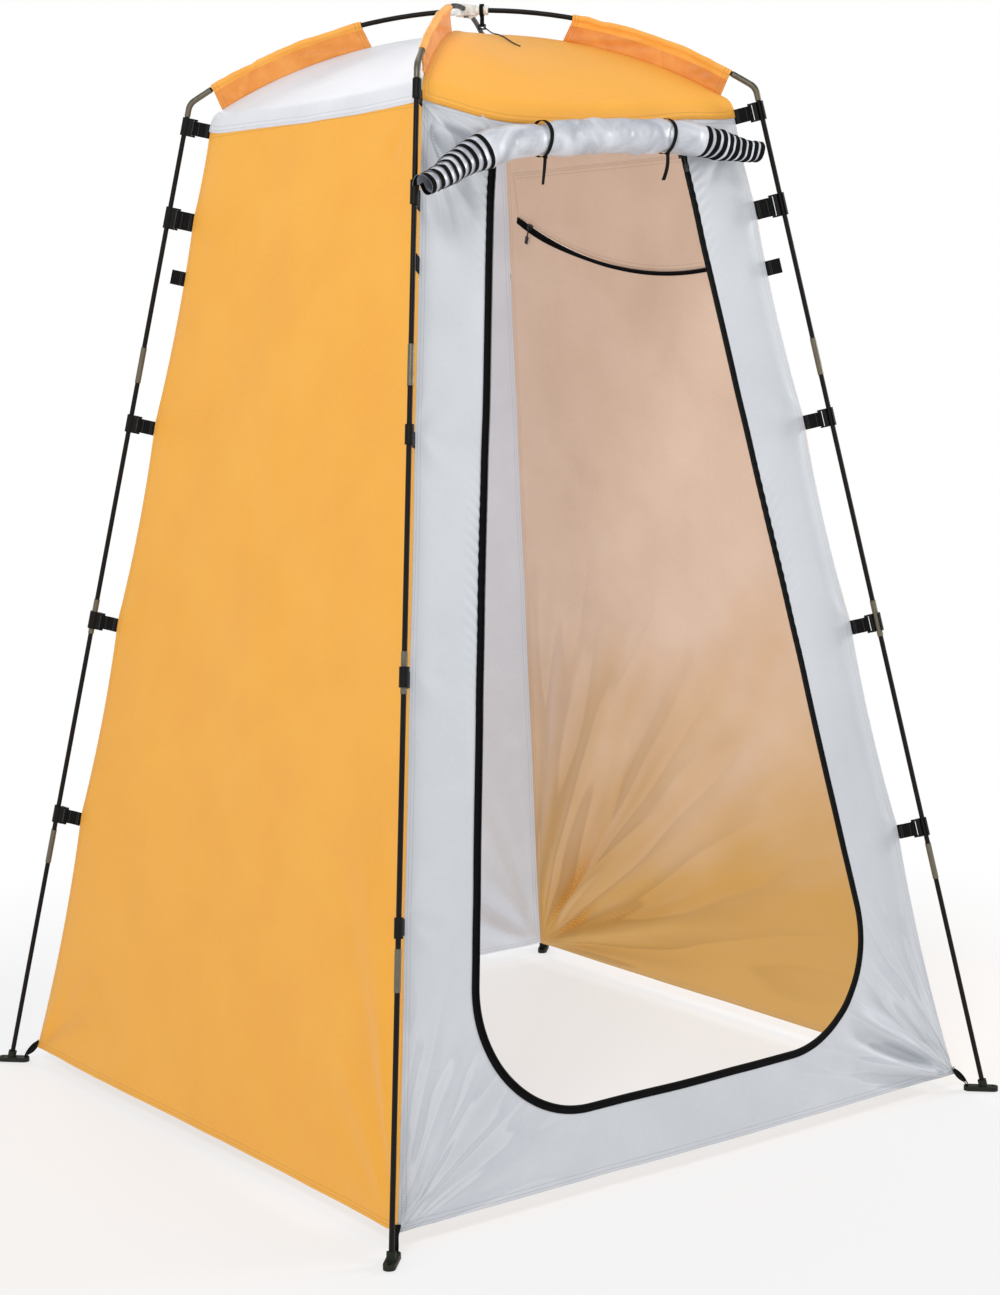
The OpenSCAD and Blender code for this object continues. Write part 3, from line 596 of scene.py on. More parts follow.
def make_stage():
    w = bpy.data.worlds.new("world")
    bpy.context.scene.world = w
    w.use_nodes = True
    bg = w.node_tree.nodes["Background"]
    # white all round at eye level, dimmer overhead, so that the lamps shape the folds
    wt = w.node_tree
    tc0 = wt.nodes.new("ShaderNodeTexCoord")
    sp0 = wt.nodes.new("ShaderNodeSeparateXYZ")
    wt.links.new(tc0.outputs["Generated"], sp0.inputs[0])
    sky = ramp(wt, sp0.outputs[2], [(0.0, (1.0, 1.0, 1.0)), (0.20, (1.0, 1.0, 1.0)), (0.42, (0.30, 0.30, 0.31)), (1.0, (0.22, 0.22, 0.23))])
    wt.links.new(sky, bg.inputs[0])
    bg.inputs[1].default_value = 1.0
    m, nt, b = new_mat("floor")
    n = node(nt, "ShaderNodeTexNoise", Scale=3.0, Detail=3.0)
    nt.links.new(ramp(nt, n.outputs[0], [(0.3, (0.92, 0.92, 0.92)), (0.7, (0.94, 0.94, 0.94))]), b.inputs["Base Color"])
    b.inputs["Roughness"].default_value = 1.0
    b.inputs["Specular IOR Level"].default_value = 0.0
    # away from the object the floor fades into the backdrop
    tc = nt.nodes.new("ShaderNodeTexCoord")
    ln = nt.nodes.new("ShaderNodeVectorMath")
    ln.operation = "LENGTH"
    nt.links.new(tc.outputs["Object"], ln.inputs[0])
    em = nt.nodes.new("ShaderNodeEmission")
    em.inputs[0].default_value = (1, 1, 1, 1)
    em.inputs[1].default_value = 1.0
    mx = nt.nodes.new("ShaderNodeMixShader")
    fac = math_node(nt, "SMOOTH_MIN", 1.0, math_node(nt, "MAXIMUM", 0.62, math_node(nt, "DIVIDE", math_node(nt, "SUBTRACT", ln.outputs["Value"], 0.1), 1.9)), 0.1)
    nt.links.new(fac, mx.inputs[0])
    nt.links.new(b.outputs[0], mx.inputs[1])
    nt.links.new(em.outputs[0], mx.inputs[2])
    outn = [q for q in nt.nodes if q.type == "OUTPUT_MATERIAL"][0]
    nt.links.new(mx.outputs[0], outn.inputs[0])
    me = bpy.data.meshes.new("floor")
    s = 30
    me.from_pydata([(-s, -s, -0.001), (s, -s, -0.001), (s, s, -0.001), (-s, s, -0.001)], [], [(0, 1, 2, 3)])
    me.materials.append(m)
    f = bpy.data.objects.new("floor", me)
    bpy.context.scene.collection.objects.link(f)
    area_light("key", (-3.6, -3.0, 4.4), (0, 0, 0.8), (1.4, 1.4), 110)
    area_light("side", (4.2, -1.9, 2.2), (0, -0.5, 0.7), (1.2, 1.2), 80)
    area_light("back", (0.6, 4.4, 4.0), (0, 0, 1.0), (2.2, 2.2), 60)
    area_light("top", (0.2, 0.2, 5.0), (0, 0, 1.5), (2.6, 2.6), 40)
    vs = bpy.context.scene.view_settings
    vs.view_transform = "Standard"
    vs.look = "None"
    vs.exposure = 0.0
    vs.gamma = 1.0


make_camera()
make_stage()

# ------------------------------------------------------------------ CAD nodes that stay
for n, ob in NODES.items():
    mat = None
    if n.startswith("leg_tubes") or n == "arch_tubes":
        mat = M_POLE
    elif n in ("ferrules", "shoulder_elbows"):
        mat = M_STEEL
    elif n == "hub":
        mat = M_HUB
    elif n == "hub_rivet":
        mat = M_RIVET
    elif n.startswith("clip_") or n in ("tube_tips", "roof_hook"):
        mat = M_CLIP
    elif n == "feet":
        mat = M_FOOT
    elif n == "shock_cords":
        mat = M_CORD
    elif n in ("door_zip_slider", "door_zip_pull", "window_zip_slider", "window_zip_pull"):
        mat = M_ZIPMETAL
    if mat is not None:
        ob.data.materials.clear()
        ob.data.materials.append(mat)

# ------------------------------------------------------------------ corner seams
ANCHORS = [HEM] + CLIP_Z[::-1][:-1] + [EAVE]
SAGS = [0.0052, 0.0042, 0.0042, 0.0040, 0.0016]


def delta(z):
    """How far the corner seam hangs in between two straps, along X and along Y."""
    z = np.asarray(z, float)
    out = np.zeros_like(z)
    for i, a in enumerate(SAGS):
        t = (z - ANCHORS[i]) / (ANCHORS[i + 1] - ANCHORS[i])
        out = out + np.where((t > 0) & (t < 1), a * 4 * t * (1 - t), 0)
    return out


def seam_h(z):
    return HW - LEAN_IN * z - delta(z)


def wall_points(k, X, z, disp):
    """Wall k's outer surface: X along the wall, height z, disp outwards."""
    hc, hn = seam_h(z), HW - LEAN_IN * z
    a = np.clip(np.abs(X) / hc, 0, 1)
    edge = 1 - a ** 8
    y = -(hc + (hn - hc) * edge + disp * (1 - a ** 30))
    P = np.stack([X, y, z + 0 * X], -1)
    return P @ rz(k * pi / 2).T


def strap_pull(X, z, amp=0.0020):
    """Short fans of small creases that run in from each strap."""
    out = np.zeros(np.broadcast(X, z).shape)
    for i, cz in enumerate(CLIP_Z[1:] + [HEM + 0.01]):
        for s in (-1, 1):
            hx = s * (HW - LEAN_IN * cz)
            r = np.hypot(X - hx, z - cz)
            ang = np.arctan2(z - cz, (hx - X) * s)
            k = 5 + 2 * rnd(i + 3 * s + 9, 4)
            out = out + amp * np.cos(k * ang + 2 * rnd(i * 3 + s, 5) * pi) * np.exp(-((r / 0.085) ** 1.4)) * smooth(0.008, 0.045, r)
    return out


def fan(cx, cz, a0, a1, n, l0, l1, amp, w, seed):
    """Crease lines that leave a corner between two angles, in degrees."""
    segs = []
    for i in range(n):
        t = (i + 0.5 + 0.7 * (rnd(i, seed) - 0.5)) / n
        a = math.radians(a0 + (a1 - a0) * t)
        L = l0 + (l1 - l0) * rnd(i, seed + 1)
        s = 0.015 + 0.02 * rnd(i, seed + 2)
        A = amp * (0.55 + 0.9 * rnd(i, seed + 3)) * (1 if rnd(i, seed + 4) > 0.35 else -0.8)
        segs.append((cx + s * cos(a), cz + s * sin(a), cx + L * cos(a), cz + L * sin(a), A, max(0.0068, w * 0.6), w * (1.0 + 1.6 * L)))
    return segs


def edge_seam_uv(X, z, along, hem=True):
    """Seam UV: distance along and to the nearest side edge or hem."""
    hc = seam_h(z)
    d_side = hc - np.abs(X)
    d_hem = z - HEM if hem else np.full_like(z, 1.0)
    side = d_side < d_hem
    return np.stack([np.where(side, z, X), np.where(side, d_side, d_hem)], -1)


def spaced(n, power=1.0):
    """-1..1, denser at both ends."""
    t = np.linspace(-1, 1, n)
    return np.sign(t) * (1 - (1 - np.abs(t)) ** (1 + 0.35 * power))


T_CLOTH = 0.0006


# ------------------------------------------------------------------ walls
T_SHELL = 0.0006
SAG = [(-0.3267, 0.0), (-0.26, 0.010), (-0.20, 0.0215), (-0.12, 0.029), (-0.03, 0.0275), (0.06, 0.021), (0.157, 0.010), (0.24, 0.003), (0.3267, 0.0)]


def eave_drop(X):
    xs, ys = np.array(SAG).T
    d = np.interp(X, xs, ys)
    for off in (0.02, 0.04):
        d = 0.5 * d + 0.25 * (np.interp(X - off, xs, ys) + np.interp(X + off, xs, ys))
    return np.maximum(d * (1 - np.clip(np.abs(X) / 0.3267, 0, 1) ** 12), 0)


def base_disp(X, z, seed, amp=0.004):
    a = np.clip(np.abs(X) / seam_h(z), 0, 1)
    big = amp * fbm(X * 3.1 + 4, z * 2.3 + 7, seed, 2)
    mid = amp * 0.22 * fbm(X * 11 + 9, z * 8 + 1, seed + 5, 2)
    return (big + mid) * (1 - a ** 4)


def hang(z):
    """Cloth sways in a little halfway up and out again at the hem."""
    return -0.010 * np.sin(np.clip((z - HEM) / (EAVE - HEM), 0, 1) * pi)


HB, HE = HW - LEAN_IN * HEM, HW - LEAN_IN * EAVE
FOLDS = {
    0: fan(-HB, HEM, 28, 66, 9, 0.20, 0.38, 0.0100, 0.0115, 11) + fan(HB, HEM, 138, 173, 8, 0.20, 0.38, 0.0095, 0.0115, 12)
    + fan(-HE, EAVE - 0.01, -66, -16, 8, 0.12, 0.26, 0.0110, 0.0110, 13) + fan(HE, EAVE - 0.01, -168, -120, 5, 0.08, 0.16, 0.0060, 0.010, 14),
    3: fan(HB, HEM, 99, 118, 5, 0.34, 0.66, 0.0100, 0.020, 21) + fan(HB, HEM, 122, 168, 5, 0.15, 0.4, 0.0050, 0.018, 22)
    + fan(-HB, HEM, 20, 70, 5, 0.15, 0.35, 0.0040, 0.016, 23) + fan(HE, EAVE, 190, 250, 4, 0.08, 0.2, 0.0030, 0.012, 24),
    2: fan(-HB, HEM, 18, 74, 9, 0.30, 0.85, 0.0085, 0.020, 31) + fan(HB, HEM, 110, 160, 5, 0.2, 0.5, 0.0050, 0.018, 32),
    1: fan(HB, HEM, 106, 171, 12, 0.50, 1.25, 0.0200, 0.019, 41) + fan(-HB, HEM, 20, 70, 6, 0.2, 0.5, 0.0060, 0.018, 42),
}
SEED = {0: 3, 1: 8, 2: 15, 3: 27}


def wall_disp(k, X, z):
    return (0.06 + 0.94 * smooth(0.008, 0.036, EAVE - z)) * raw_disp(k, X, z)


DOOR_HALF, SILL, DTOP, DR = 0.462, 0.141, 1.665, 0.190
DT = math.atan(ST)
D_S0, D_ST = SILL / CT, DTOP / CT
D_SC = D_S0 + DR


def hd(s):
    return DOOR_HALF - ST * s


D_XC = hd(D_SC) - DR / cos(DT)


def door_dist(X, z):
    """Distance out from the edge of the door opening."""
    s, ax = z / CT, np.abs(X)
    dx, ds = ax - D_XC, z / CT - D_SC
    ang = np.arctan2(ds, dx)
    straight = np.where((ax < D_XC) & (s < D_SC), D_S0 - s, (ax - hd(s)) * cos(DT))
    return np.where((ang > -pi / 2) & (ang < DT), np.hypot(dx, ds) - DR, straight)


def raw_disp(k, X, z):
    calm = 0.08 + 0.92 * smooth(0.006, 0.080, door_dist(X, z)) if k == 0 else 1.0
    return base_disp(X, z, SEED[k], 0.0045) + hang(z) * (1 - np.clip(np.abs(X) / seam_h(z), 0, 1) ** 2) + calm * creases(X, z, FOLDS[k]) + strap_pull(X, z, 0.0022 if k in (0, 2) else 0.0017)


def wall_uv_seam(X, z):
    hc = seam_h(z)
    d_side, d_hem, d_top = hc - np.abs(X), z - HEM, EAVE - z
    d = np.minimum(np.minimum(d_side, d_hem), d_top)
    along = np.where(d_side <= d + 1e-9, z, X)
    return np.stack([X, z], -1), np.stack([along, d], -1)


def finish_wall(piece, name, cad):
    ob = piece.build(name)
    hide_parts(cad)
    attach(ob, "tent")
    return ob


def full_wall(name, k, mats, cad, nu=130, nv=210):
    a = spaced(nu)[:, None]
    z = np.broadcast_to(HEM + (EAVE - HEM) * (0.5 + 0.5 * spaced(nv, 0.6))[None, :], (nu, nv)).copy()
    X = a * seam_h(z)
    c = Cloth(mats)
    uv, se = wall_uv_seam(X, z)
    c.grid(wall_points(k, X, z, wall_disp(k, X, z)), T_SHELL, uv=uv, seam=se)
    return finish_wall(c, name, cad)


full_wall("wall_left_cloth", 3, [M_ORANGE, M_TAN], "wall_left")
full_wall("wall_back_cloth", 2, [M_SILVER, M_GREY_IN], "wall_back")

# ---- front wall, an O of cloth round the door opening
def resample(pts, n):
    pts = np.asarray(pts, float)
    d = np.concatenate([[0], np.cumsum(np.linalg.norm(np.diff(pts, axis=0), axis=1))])
    t = np.linspace(0, d[-1], n)
    return np.stack([np.interp(t, d, pts[:, i]) for i in range(pts.shape[1])], -1)


def door_sides(o):
    """Door outline grown by o, clockwise from the top left, as four runs of (x, s)."""
    xt = hd(D_ST) + o / cos(DT)
    arc = [(D_XC + (DR + o) * cos(t), D_SC + (DR + o) * sin(t)) for t in np.linspace(DT, -pi / 2, 60)]
    h = 34
    right = [(xt, D_ST)] + arc[:h + 1]
    bottom = arc[h:] + [(-x, s) for x, s in arc[::-1]][:60 - h]
    left = [(-x, s) for x, s in right[::-1]]
    return [(-xt, D_ST), (xt, D_ST)], right, bottom, left


def ring_loop(o, counts):
    out = []
    for run, n in zip(door_sides(o), counts):
        out.append(resample(run, n + 1)[:-1])
    r = np.concatenate(out)
    return np.stack([r[:, 0], r[:, 1] * CT], -1)


def outer_loop(counts):
    top = [(-1, EAVE), (1, EAVE)]
    runs = []
    zs = np.linspace(EAVE, HEM, 400)
    runs.append(np.stack([np.linspace(-HE, HE, 2), [EAVE, EAVE]], -1))
    runs.append(np.stack([seam_h(zs), zs], -1))
    runs.append(np.stack([np.linspace(HB, -HB, 2), [HEM, HEM]], -1))
    runs.append(np.stack([-seam_h(zs[::-1]), zs[::-1]], -1))
    return np.concatenate([resample(r, n + 1)[:-1] for r, n in zip(runs, counts)])


def front_place(X, z, disp):
    z2 = z - eave_drop(X * (HE / np.maximum(seam_h(z), HE))) * smooth(1.53, 1.708, z)
    return wall_points(0, X, z2, disp)


def front_disp(X, z):
    s = z / CT
    edge = np.abs(X) - hd(s)
    pucker = 0.0011 * np.sin((z * 1.0 - np.abs(X) * 0.8) * 2 * pi / 0.021 + 3 * vnoise(z * 9, X * 9, 5)) * np.exp(-((edge - 0.022) / 0.016) ** 2) * (z > 0.3) * smooth(-0.4, 0.5, vnoise(z * 6, 2.0, 9))
    head = 0.0035 * fbm(X * 22, z * 38, 61, 3) * smooth(1.655, 1.685, z) * smooth(0.0, 0.014, EAVE - z) * (1 - smooth(0.27, 0.33, np.abs(X)))
    return wall_disp(0, X, z) + pucker + head


counts = (110, 400, 280, 400)
inner = ring_loop(0.010, counts)
outer = outer_loop(counts)
tt = np.concatenate([[0, 0.014], np.linspace(0.04, 0.96, 33), [0.985, 1.0]])
ring = inner[:, None] * (1 - tt[None, :, None]) + outer[:, None] * tt[None, :, None]
X, Z = ring[..., 0], ring[..., 1]
c = Cloth([M_SILVER_F, M_GREY_IN])
uv, se = wall_uv_seam(X, Z)
c.grid(front_place(X, Z, front_disp(X, Z)), T_SHELL, uv=uv, seam=se, loop=True)
finish_wall(c, "wall_front_cloth", "wall_front")

# ---- door zip: tape on the outer face, coil of teeth on its free edge
zc = Cloth([M_TAPE, M_COIL])
offs = np.array([0.0, 0.0012, 0.0035, 0.0065, 0.0095, 0.0122, 0.013])
loops = []
side_counts = (4, 420, 260, 420)
for o in offs:
    loops.append(ring_loop(o, side_counts))
band = np.stack(loops, 1)
band = np.concatenate([band[4:], band[:1]])
X, Z = band[..., 0], band[..., 1]
lift = np.array([0.0017, 0.0019, 0.0016, 0.0015, 0.0015, 0.0014, 0.0010])[None, :]
P = front_place(X, Z, front_disp(X, Z) * smooth(0, 0.008, offs)[None, :] + lift + front_disp(X, Z) * (1 - smooth(0, 0.008, offs))[None, :])
along = np.concatenate([[0], np.cumsum(np.linalg.norm(np.diff(band[:, 3], axis=0), axis=1))])
uvb = np.stack(np.broadcast_arrays(offs[None, :], along[:, None]), -1)
zc.grid(P, 0.0009, uv=uvb, outer=0, inner=0, rim=0)
edge_line = P[:, 1]
n_teeth = int(along[-1] / 0.0026)
tpos = np.linspace(0.004, along[-1] - 0.004, n_teeth)
line = np.stack([np.interp(tpos, along, edge_line[:, i]) for i in range(3)], -1)
outw = P[:, 4] - P[:, 0]
outw /= np.linalg.norm(outw, axis=1, keepdims=True)
ow = np.stack([np.interp(tpos, along, outw[:, i]) for i in range(3)], -1)
tg = np.gradient(line, axis=0)
tg /= np.linalg.norm(tg, axis=1, keepdims=True)
nn = np.cross(tg, ow)
nn /= np.linalg.norm(nn, axis=1, keepdims=True)
zc.blocks(line - ow * 0.0004 + nn * 0.0002, tg, ow, nn, (0.0008, 0.0016, 0.0011), mat=1)
ob = zc.build("door_zip_tape")
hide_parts("door_zip")
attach(ob, "tent")

# ---- right wall with the window flap cut out of it
WM, WR, WLOW, WTOP, WHALF = -0.130, 0.890, 1.453, 1.655, 0.318
W_CS = WLOW / CT + WR


def arc_z(x):
    return (W_CS - np.sqrt(WR ** 2 - (np.clip(x, -WHALF, WHALF) - WM) ** 2)) * CT


ax_side = np.linspace(0, 1, 14)
ax_mid = np.linspace(-1, 1, 110)
cols = np.concatenate([-2 + ax_side[:-1], ax_mid, 1 + ax_side[1:]])
rows = np.concatenate([spaced(240, 0.5)[:200] * 0.5 + 0.5, ])
rows_low = np.linspace(0, 1, 190)
rows_mid = np.linspace(0, 1, 30)
rows_top = np.linspace(0, 1, 8)
nv = 190 + 29 + 7
nu = len(cols)
Xw, Zw = np.zeros((nu, nv)), np.zeros((nu, nv))


def col_x(a, z):
    hc = seam_h(z)
    xb = np.where(z > 1.45, WHALF, WHALF * hc / (HW - LEAN_IN * 1.45))
    return np.where(np.abs(a) <= 1, a * xb, np.sign(a) * (xb + (hc - xb) * (np.abs(a) - 1)))


for j in range(nv):
    if j < 190:
        z = np.full(nu, HEM) + (np.zeros(nu))
        for _ in range(3):
            x = col_x(cols, z)
            z = HEM + (arc_z(np.clip(cols, -1, 1) * WHALF) - HEM) * rows_low[j]
    elif j < 219:
        za = arc_z(np.clip(cols, -1, 1) * WHALF)
        z = za + (WTOP - za) * rows_mid[j - 189]
    else:
        z = WTOP + (EAVE - WTOP) * rows_top[j - 218]
    Zw[:, j] = z
    Xw[:, j] = col_x(cols, z)
Dw = wall_disp(1, Xw, Zw)
Pw = wall_points(1, Xw, Zw, Dw)
uvw, sew = wall_uv_seam(Xw, Zw)
ci = np.arange(nu - 1)[:, None]
ri = np.arange(nv - 1)[None, :]
hole = (cols[:-1] >= -1 - 1e-9)[:, None] & (cols[1:] <= 1 + 1e-9)[:, None] & (ri >= 189) & (ri < 218)
c = Cloth([M_ORANGE, M_TAN])
c.grid(Pw, T_SHELL, uv=uvw, seam=sew, keep=~hole)
finish_wall(c, "wall_right_cloth", "wall_right")
i0, i1 = int(np.argmin(np.abs(cols + 1))), int(np.argmin(np.abs(cols - 1)))
fx = Xw[i0:i1 + 1, 189:219]
fz = Zw[i0:i1 + 1, 189:219]
# the flap is cut 0.6 mm smaller than its hole and billows a little
fx2 = fx * 0.9975
fz2 = WTOP - (WTOP - fz) * 0.996
shade_in = 0.004 * np.sin(np.clip((WTOP - fz2) / 0.2, 0, 1) * pi) * np.cos(fx2 / WHALF * pi / 2)
Pf = wall_points(1, fx2, fz2, np.interp(fx2, [-WHALF, WHALF], [0, 0]) + wall_disp(1, fx2, fz2) + shade_in)
c = Cloth([M_ORANGE, M_TAN])
uvf = np.stack([fx2, fz2], -1)
dz = fz2 - arc_z(fx2)
c.grid(Pf, T_SHELL, uv=uvf, seam=np.stack([fx2, np.minimum(np.minimum(dz, WHALF - np.abs(fx2)), WTOP - fz2)], -1))
ob = c.build("window_flap_cloth")
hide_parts("window_flap")
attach(ob, "window_flap")

# ---- window zip: tape round the arc on the inner face, wider at the far end, with its coil
c = Cloth([M_TAPE, M_COIL])
x0, x1 = -WHALF + 0.0005, WHALF - 0.0005
xs = np.linspace(x0, x1, 260)
ph = np.arcsin((xs - WM) / WR)
wid = 0.0062 + 0.0068 * smooth(0.10, 0.30, xs) + 0.001 * smooth(-0.2, -0.3, xs)
jj = np.array([0, 0.12, 0.4, 0.7, 0.93, 1.0])
rr = WR + 0.0006 + wid[:, None] * jj[None, :]
bx = WM + rr * np.sin(ph)[:, None]
bz = (W_CS - rr * np.cos(ph)[:, None]) * CT
hump = 0.0016 * np.exp(-((bx - 0.235) / 0.05) ** 2) * jj[None, :]
Pz = wall_points(1, bx, bz, wall_disp(1, bx, bz) - T_SHELL - 0.0003 - hump)
al = np.concatenate([[0], np.cumsum(np.linalg.norm(np.diff(Pz[:, 2], axis=0), axis=1))])
c.grid(Pz, 0.0009, uv=np.stack(np.broadcast_arrays(jj[None, :] * wid[:, None], al[:, None]), -1), outer=0, inner=0, rim=0, flip=True)
tpos = np.linspace(0.004, al[-1] - 0.004, int(al[-1] / 0.0026))
line = np.stack([np.interp(tpos, al, Pz[:, 0, i]) for i in range(3)], -1)
ow = Pz[:, 4] - Pz[:, 0]
ow /= np.linalg.norm(ow, axis=1, keepdims=True)
ow = np.stack([np.interp(tpos, al, ow[:, i]) for i in range(3)], -1)
tg = np.gradient(line, axis=0)
tg /= np.linalg.norm(tg, axis=1, keepdims=True)
nn = np.cross(tg, ow)
inward = np.array([-1.0, 0, 0])
nn *= np.sign((nn @ inward))[:, None]
c.blocks(line + nn * 0.0012, tg, ow, nn, (0.0008, 0.0015, 0.0010), mat=1)
ob = c.build("window_zip_tape")
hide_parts("window_zip")
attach(ob, "tent")

# ------------------------------------------------------------------ roof
HIPS = [(HIP_D * i / 30, ARCH_CZ + sqrt(HIP_R ** 2 - (HIP_D * i / 30) ** 2)) for i in range(31)]
eave_d = sqrt(2) * HE
HIPS[0] = (0.0006, HIPS[0][1])
HIPS += [(0.4512, 1.7375), (0.4560, 1.7290), (0.4592, 1.7200), (eave_d, EAVE)]
prof = resample(np.array(HIPS), 72)


def gore(name, k, mats, cad, seed):
    a = spaced(80, 0.8)[:, None]
    d, zz = prof[:, 0][None, :], prof[:, 1][None, :]
    t = np.linspace(0, 1, len(prof))[None, :]
    Xg = a * d / sqrt(2)
    w = 1 - np.abs(a) ** 2.2
    hip_gap = 0.0010 * (1 - np.abs(a))
    sag = -0.011 * w * np.sin(pi * t ** 1.2) + 0.0022 * fbm(Xg * 9 + k, t * 3 + 2, seed, 2) * w
    y = -d / sqrt(2) * np.ones_like(a)
    drop = eave_drop(a * HE) if k == 0 else 0.004 * (1 - np.abs(a) ** 2)
    wt = smooth(0.62, 1.0, t) * t
    fold = np.zeros_like(Xg)
    for cx, side in ((-HE, -1), (HE, 1)):
        r = np.hypot(Xg - cx, (zz - EAVE) + 0 * a)
        ang = np.arctan2(zz - EAVE + 0 * a, (cx - Xg) * side)
        fold = fold + 0.0016 * np.cos(9 * ang + side + seed) * np.exp(-(r / 0.07) ** 1.4) * smooth(0, 0.02, r)
    z = zz + sag - drop * wt + fold * w
    y = y - LEAN_IN * drop * wt - 0.0016 * smooth(0.88, 0.99, t)
    z = z - 0.005 * smooth(0.93, 1.0, t) * (1 - np.abs(a) ** 20)
    Xg = Xg * (1 + 0.0035 * smooth(0.88, 0.99, t))
    P = np.stack([Xg, y, z], -1) @ rz(k * pi / 2).T
    c = Cloth(mats)
    al = np.concatenate([[0], np.cumsum(np.linalg.norm(np.diff(prof, axis=0), axis=1))])[None, :] * np.ones_like(a)
    edge = (1 - np.abs(a)) * d / sqrt(2)
    seam = np.stack([np.where(edge < al[:, -1:] - al, al, Xg), np.minimum(edge, al[:, -1:] - al)], -1)
    c.grid(P, T_SHELL, uv=np.stack([Xg, al], -1), seam=seam, flip=True)
    ob = c.build(name)
    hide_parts(cad)
    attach(ob, "tent")
    return P


gore("roof_front_cloth", 0, [M_ROOF_O, M_TAN], "roof_front", 4)
gore("roof_right_cloth", 1, [M_WHITE, M_GREY_IN], "roof_right", 9)
gore("roof_back_cloth", 2, [M_ROOF_O, M_TAN], "roof_back", 14)
gore("roof_left_cloth", 3, [M_WHITE, M_GREY_IN], "roof_left", 19)

# sleeves on the arches, each with a fin down to the hip seam
c = Cloth([M_FIN, M_FIN_SHADED])
A0, A1 = math.asin(0.185 / ARCH_R), math.asin(0.455 / ARCH_R)
for k in range(4):
    nu = 90
    ang = np.linspace(A0, A1, nu)
    tr = 0.0059
    section = [(0.8885, 0.00075), (0.893, 0.0008), (0.899, 0.0009), (0.905, 0.0009), (0.911, 0.001), (0.917, 0.0012), (0.9225, 0.0020)]
    for t in np.linspace(-math.radians(148), math.radians(148), 19):
        section.append((ARCH_R + tr * cos(t + 0.0), tr * sin(-t)))
    section += [(r, -l) for r, l in section[:7][::-1]]
    sec = np.array(section)
    U = np.linspace(0, 1, nu)[:, None]
    V = np.clip((sec[:, 0] - 0.8885) / 0.036, 0, 1)[None, :]
    fin_w = np.sin(np.clip(V, 0, 1) * pi)
    c1 = np.exp(-(((U - 0.26) - 0.55 * (V - 0.5)) / 0.045) ** 2) * 0.0062
    c2 = -np.exp(-(((U - 0.36) - 0.55 * (V - 0.5)) / 0.06) ** 2) * 0.0050
    c3 = np.exp(-(((U - 0.86) + 0.45 * (V - 0.5)) / 0.03) ** 2) * 0.0040 - np.exp(-(((U - 0.93) + 0.45 * (V - 0.5)) / 0.035) ** 2) * 0.0034
    c4 = 0.0016 * fbm(U * 8 + 3 * k, V * 1.5, 70 + k, 2)
    lat = sec[None, :, 1] + (c1 + c2 + c3 + c4) * fin_w * (1 if k % 2 == 0 else -1)
    rad = sec[None, :, 0] + 0.0012 * fbm(U * 11, V * 2 + 5, 80 + k, 2) * (V > 0.95)
    # the fin's inner end is cut on a slant
    angg = ang[:, None] + (1 - V) * (A1 - A0) * (-0.035) * (1 - U) ** 3 + (1 - V) * 0.004 * U ** 6
    P = np.stack([rad * np.sin(angg), lat, ARCH_CZ + rad * np.cos(angg)], -1) @ corner_m(k).T
    uv = np.stack(np.broadcast_arrays(ang[:, None] * ARCH_R, np.concatenate([[0], np.cumsum(np.linalg.norm(np.diff(sec, axis=0), axis=1))])[None, :]), -1)
    e = np.minimum(U, 1 - U) * (A1 - A0) * ARCH_R
    seam = np.stack(np.broadcast_arrays(V * 0.036, e), -1)
    # the fin faces take the darker orange copy as painted shade
    fm = np.broadcast_to(np.where((V[0, :-1] < 0.93) & (V[0, 1:] < 0.97), 1, 0)[None, :], (nu - 1, len(sec) - 1))
    c.grid(P, 0.0005, uv=uv, seam=seam, fmat=fm, imat=fm, flip=True)
ob = c.build("hip_sleeve_cloth")
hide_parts("hip_sleeves")
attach(ob, "tent")

# ------------------------------------------------------------------ webbing straps
THREAD = (0.05, 0.05, 0.052)
M_THREAD = hard_mat("thread", THREAD, 0.7, grain=900.0, vary=0.3)
for k, nm in enumerate(CORNERS):
    c = Cloth([M_WEB, M_THREAD])
    for i, z in enumerate(CLIP_Z):
        w = WEB_W[i]
        x_in = -0.0462
        loop = [(-BAR + 0.00325 * cos(t), 0.00325 * sin(t)) for t in np.linspace(-2.62, 2.62, 24)]
        xs = np.linspace(x_in, -BAR - 0.0045, 12)
        bow = 0.0010 * np.sin(np.linspace(0, pi, 12))
        low = [(x, -0.00072 - b) for x, b in zip(xs, bow)]
        high = [(x, 0.00072 - b) for x, b in zip(xs[::-1], bow[::-1])]
        pth = np.array(low + loop + high)
        pl = np.stack([pth[:, 0], pth[:, 1], np.zeros(len(pth))], -1)
        world = leg_pts(k, z, pl)
        up = (corner_m(k) @ ry(-LEAN) @ np.array([0, 0, 1.0]))
        c.ribbon(world, up, w, 0.00115)
        # bar tacks near the fabric and beside the bar
        for x in (-0.0415, -0.0385, -0.0245):
            for side in (-1, 1):
                zs = np.arange(-w / 2 + 0.0025, w / 2 - 0.002, 0.0028)
                bz = -0.0010 * math.sin(pi * (x - x_in) / (-BAR - 0.0045 - x_in))
                pts = np.stack([np.full(len(zs), x), np.full(len(zs), side * (0.00072 + 0.0006) + bz - (0.0006 if side < 0 else 0)), zs], -1)
                R = corner_m(k) @ ry(-LEAN)
                c.blocks(leg_pts(k, z, pts), R @ np.array([1.0, 0, 0]), R @ np.array([0, 1.0, 0]), R @ np.array([0, 0, 1.0]), (0.00045, 0.00035, 0.0010), mat=1)
    ob = c.build("straps_%s_web" % nm)
    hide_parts("straps_" + nm)
    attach(ob, "tent")

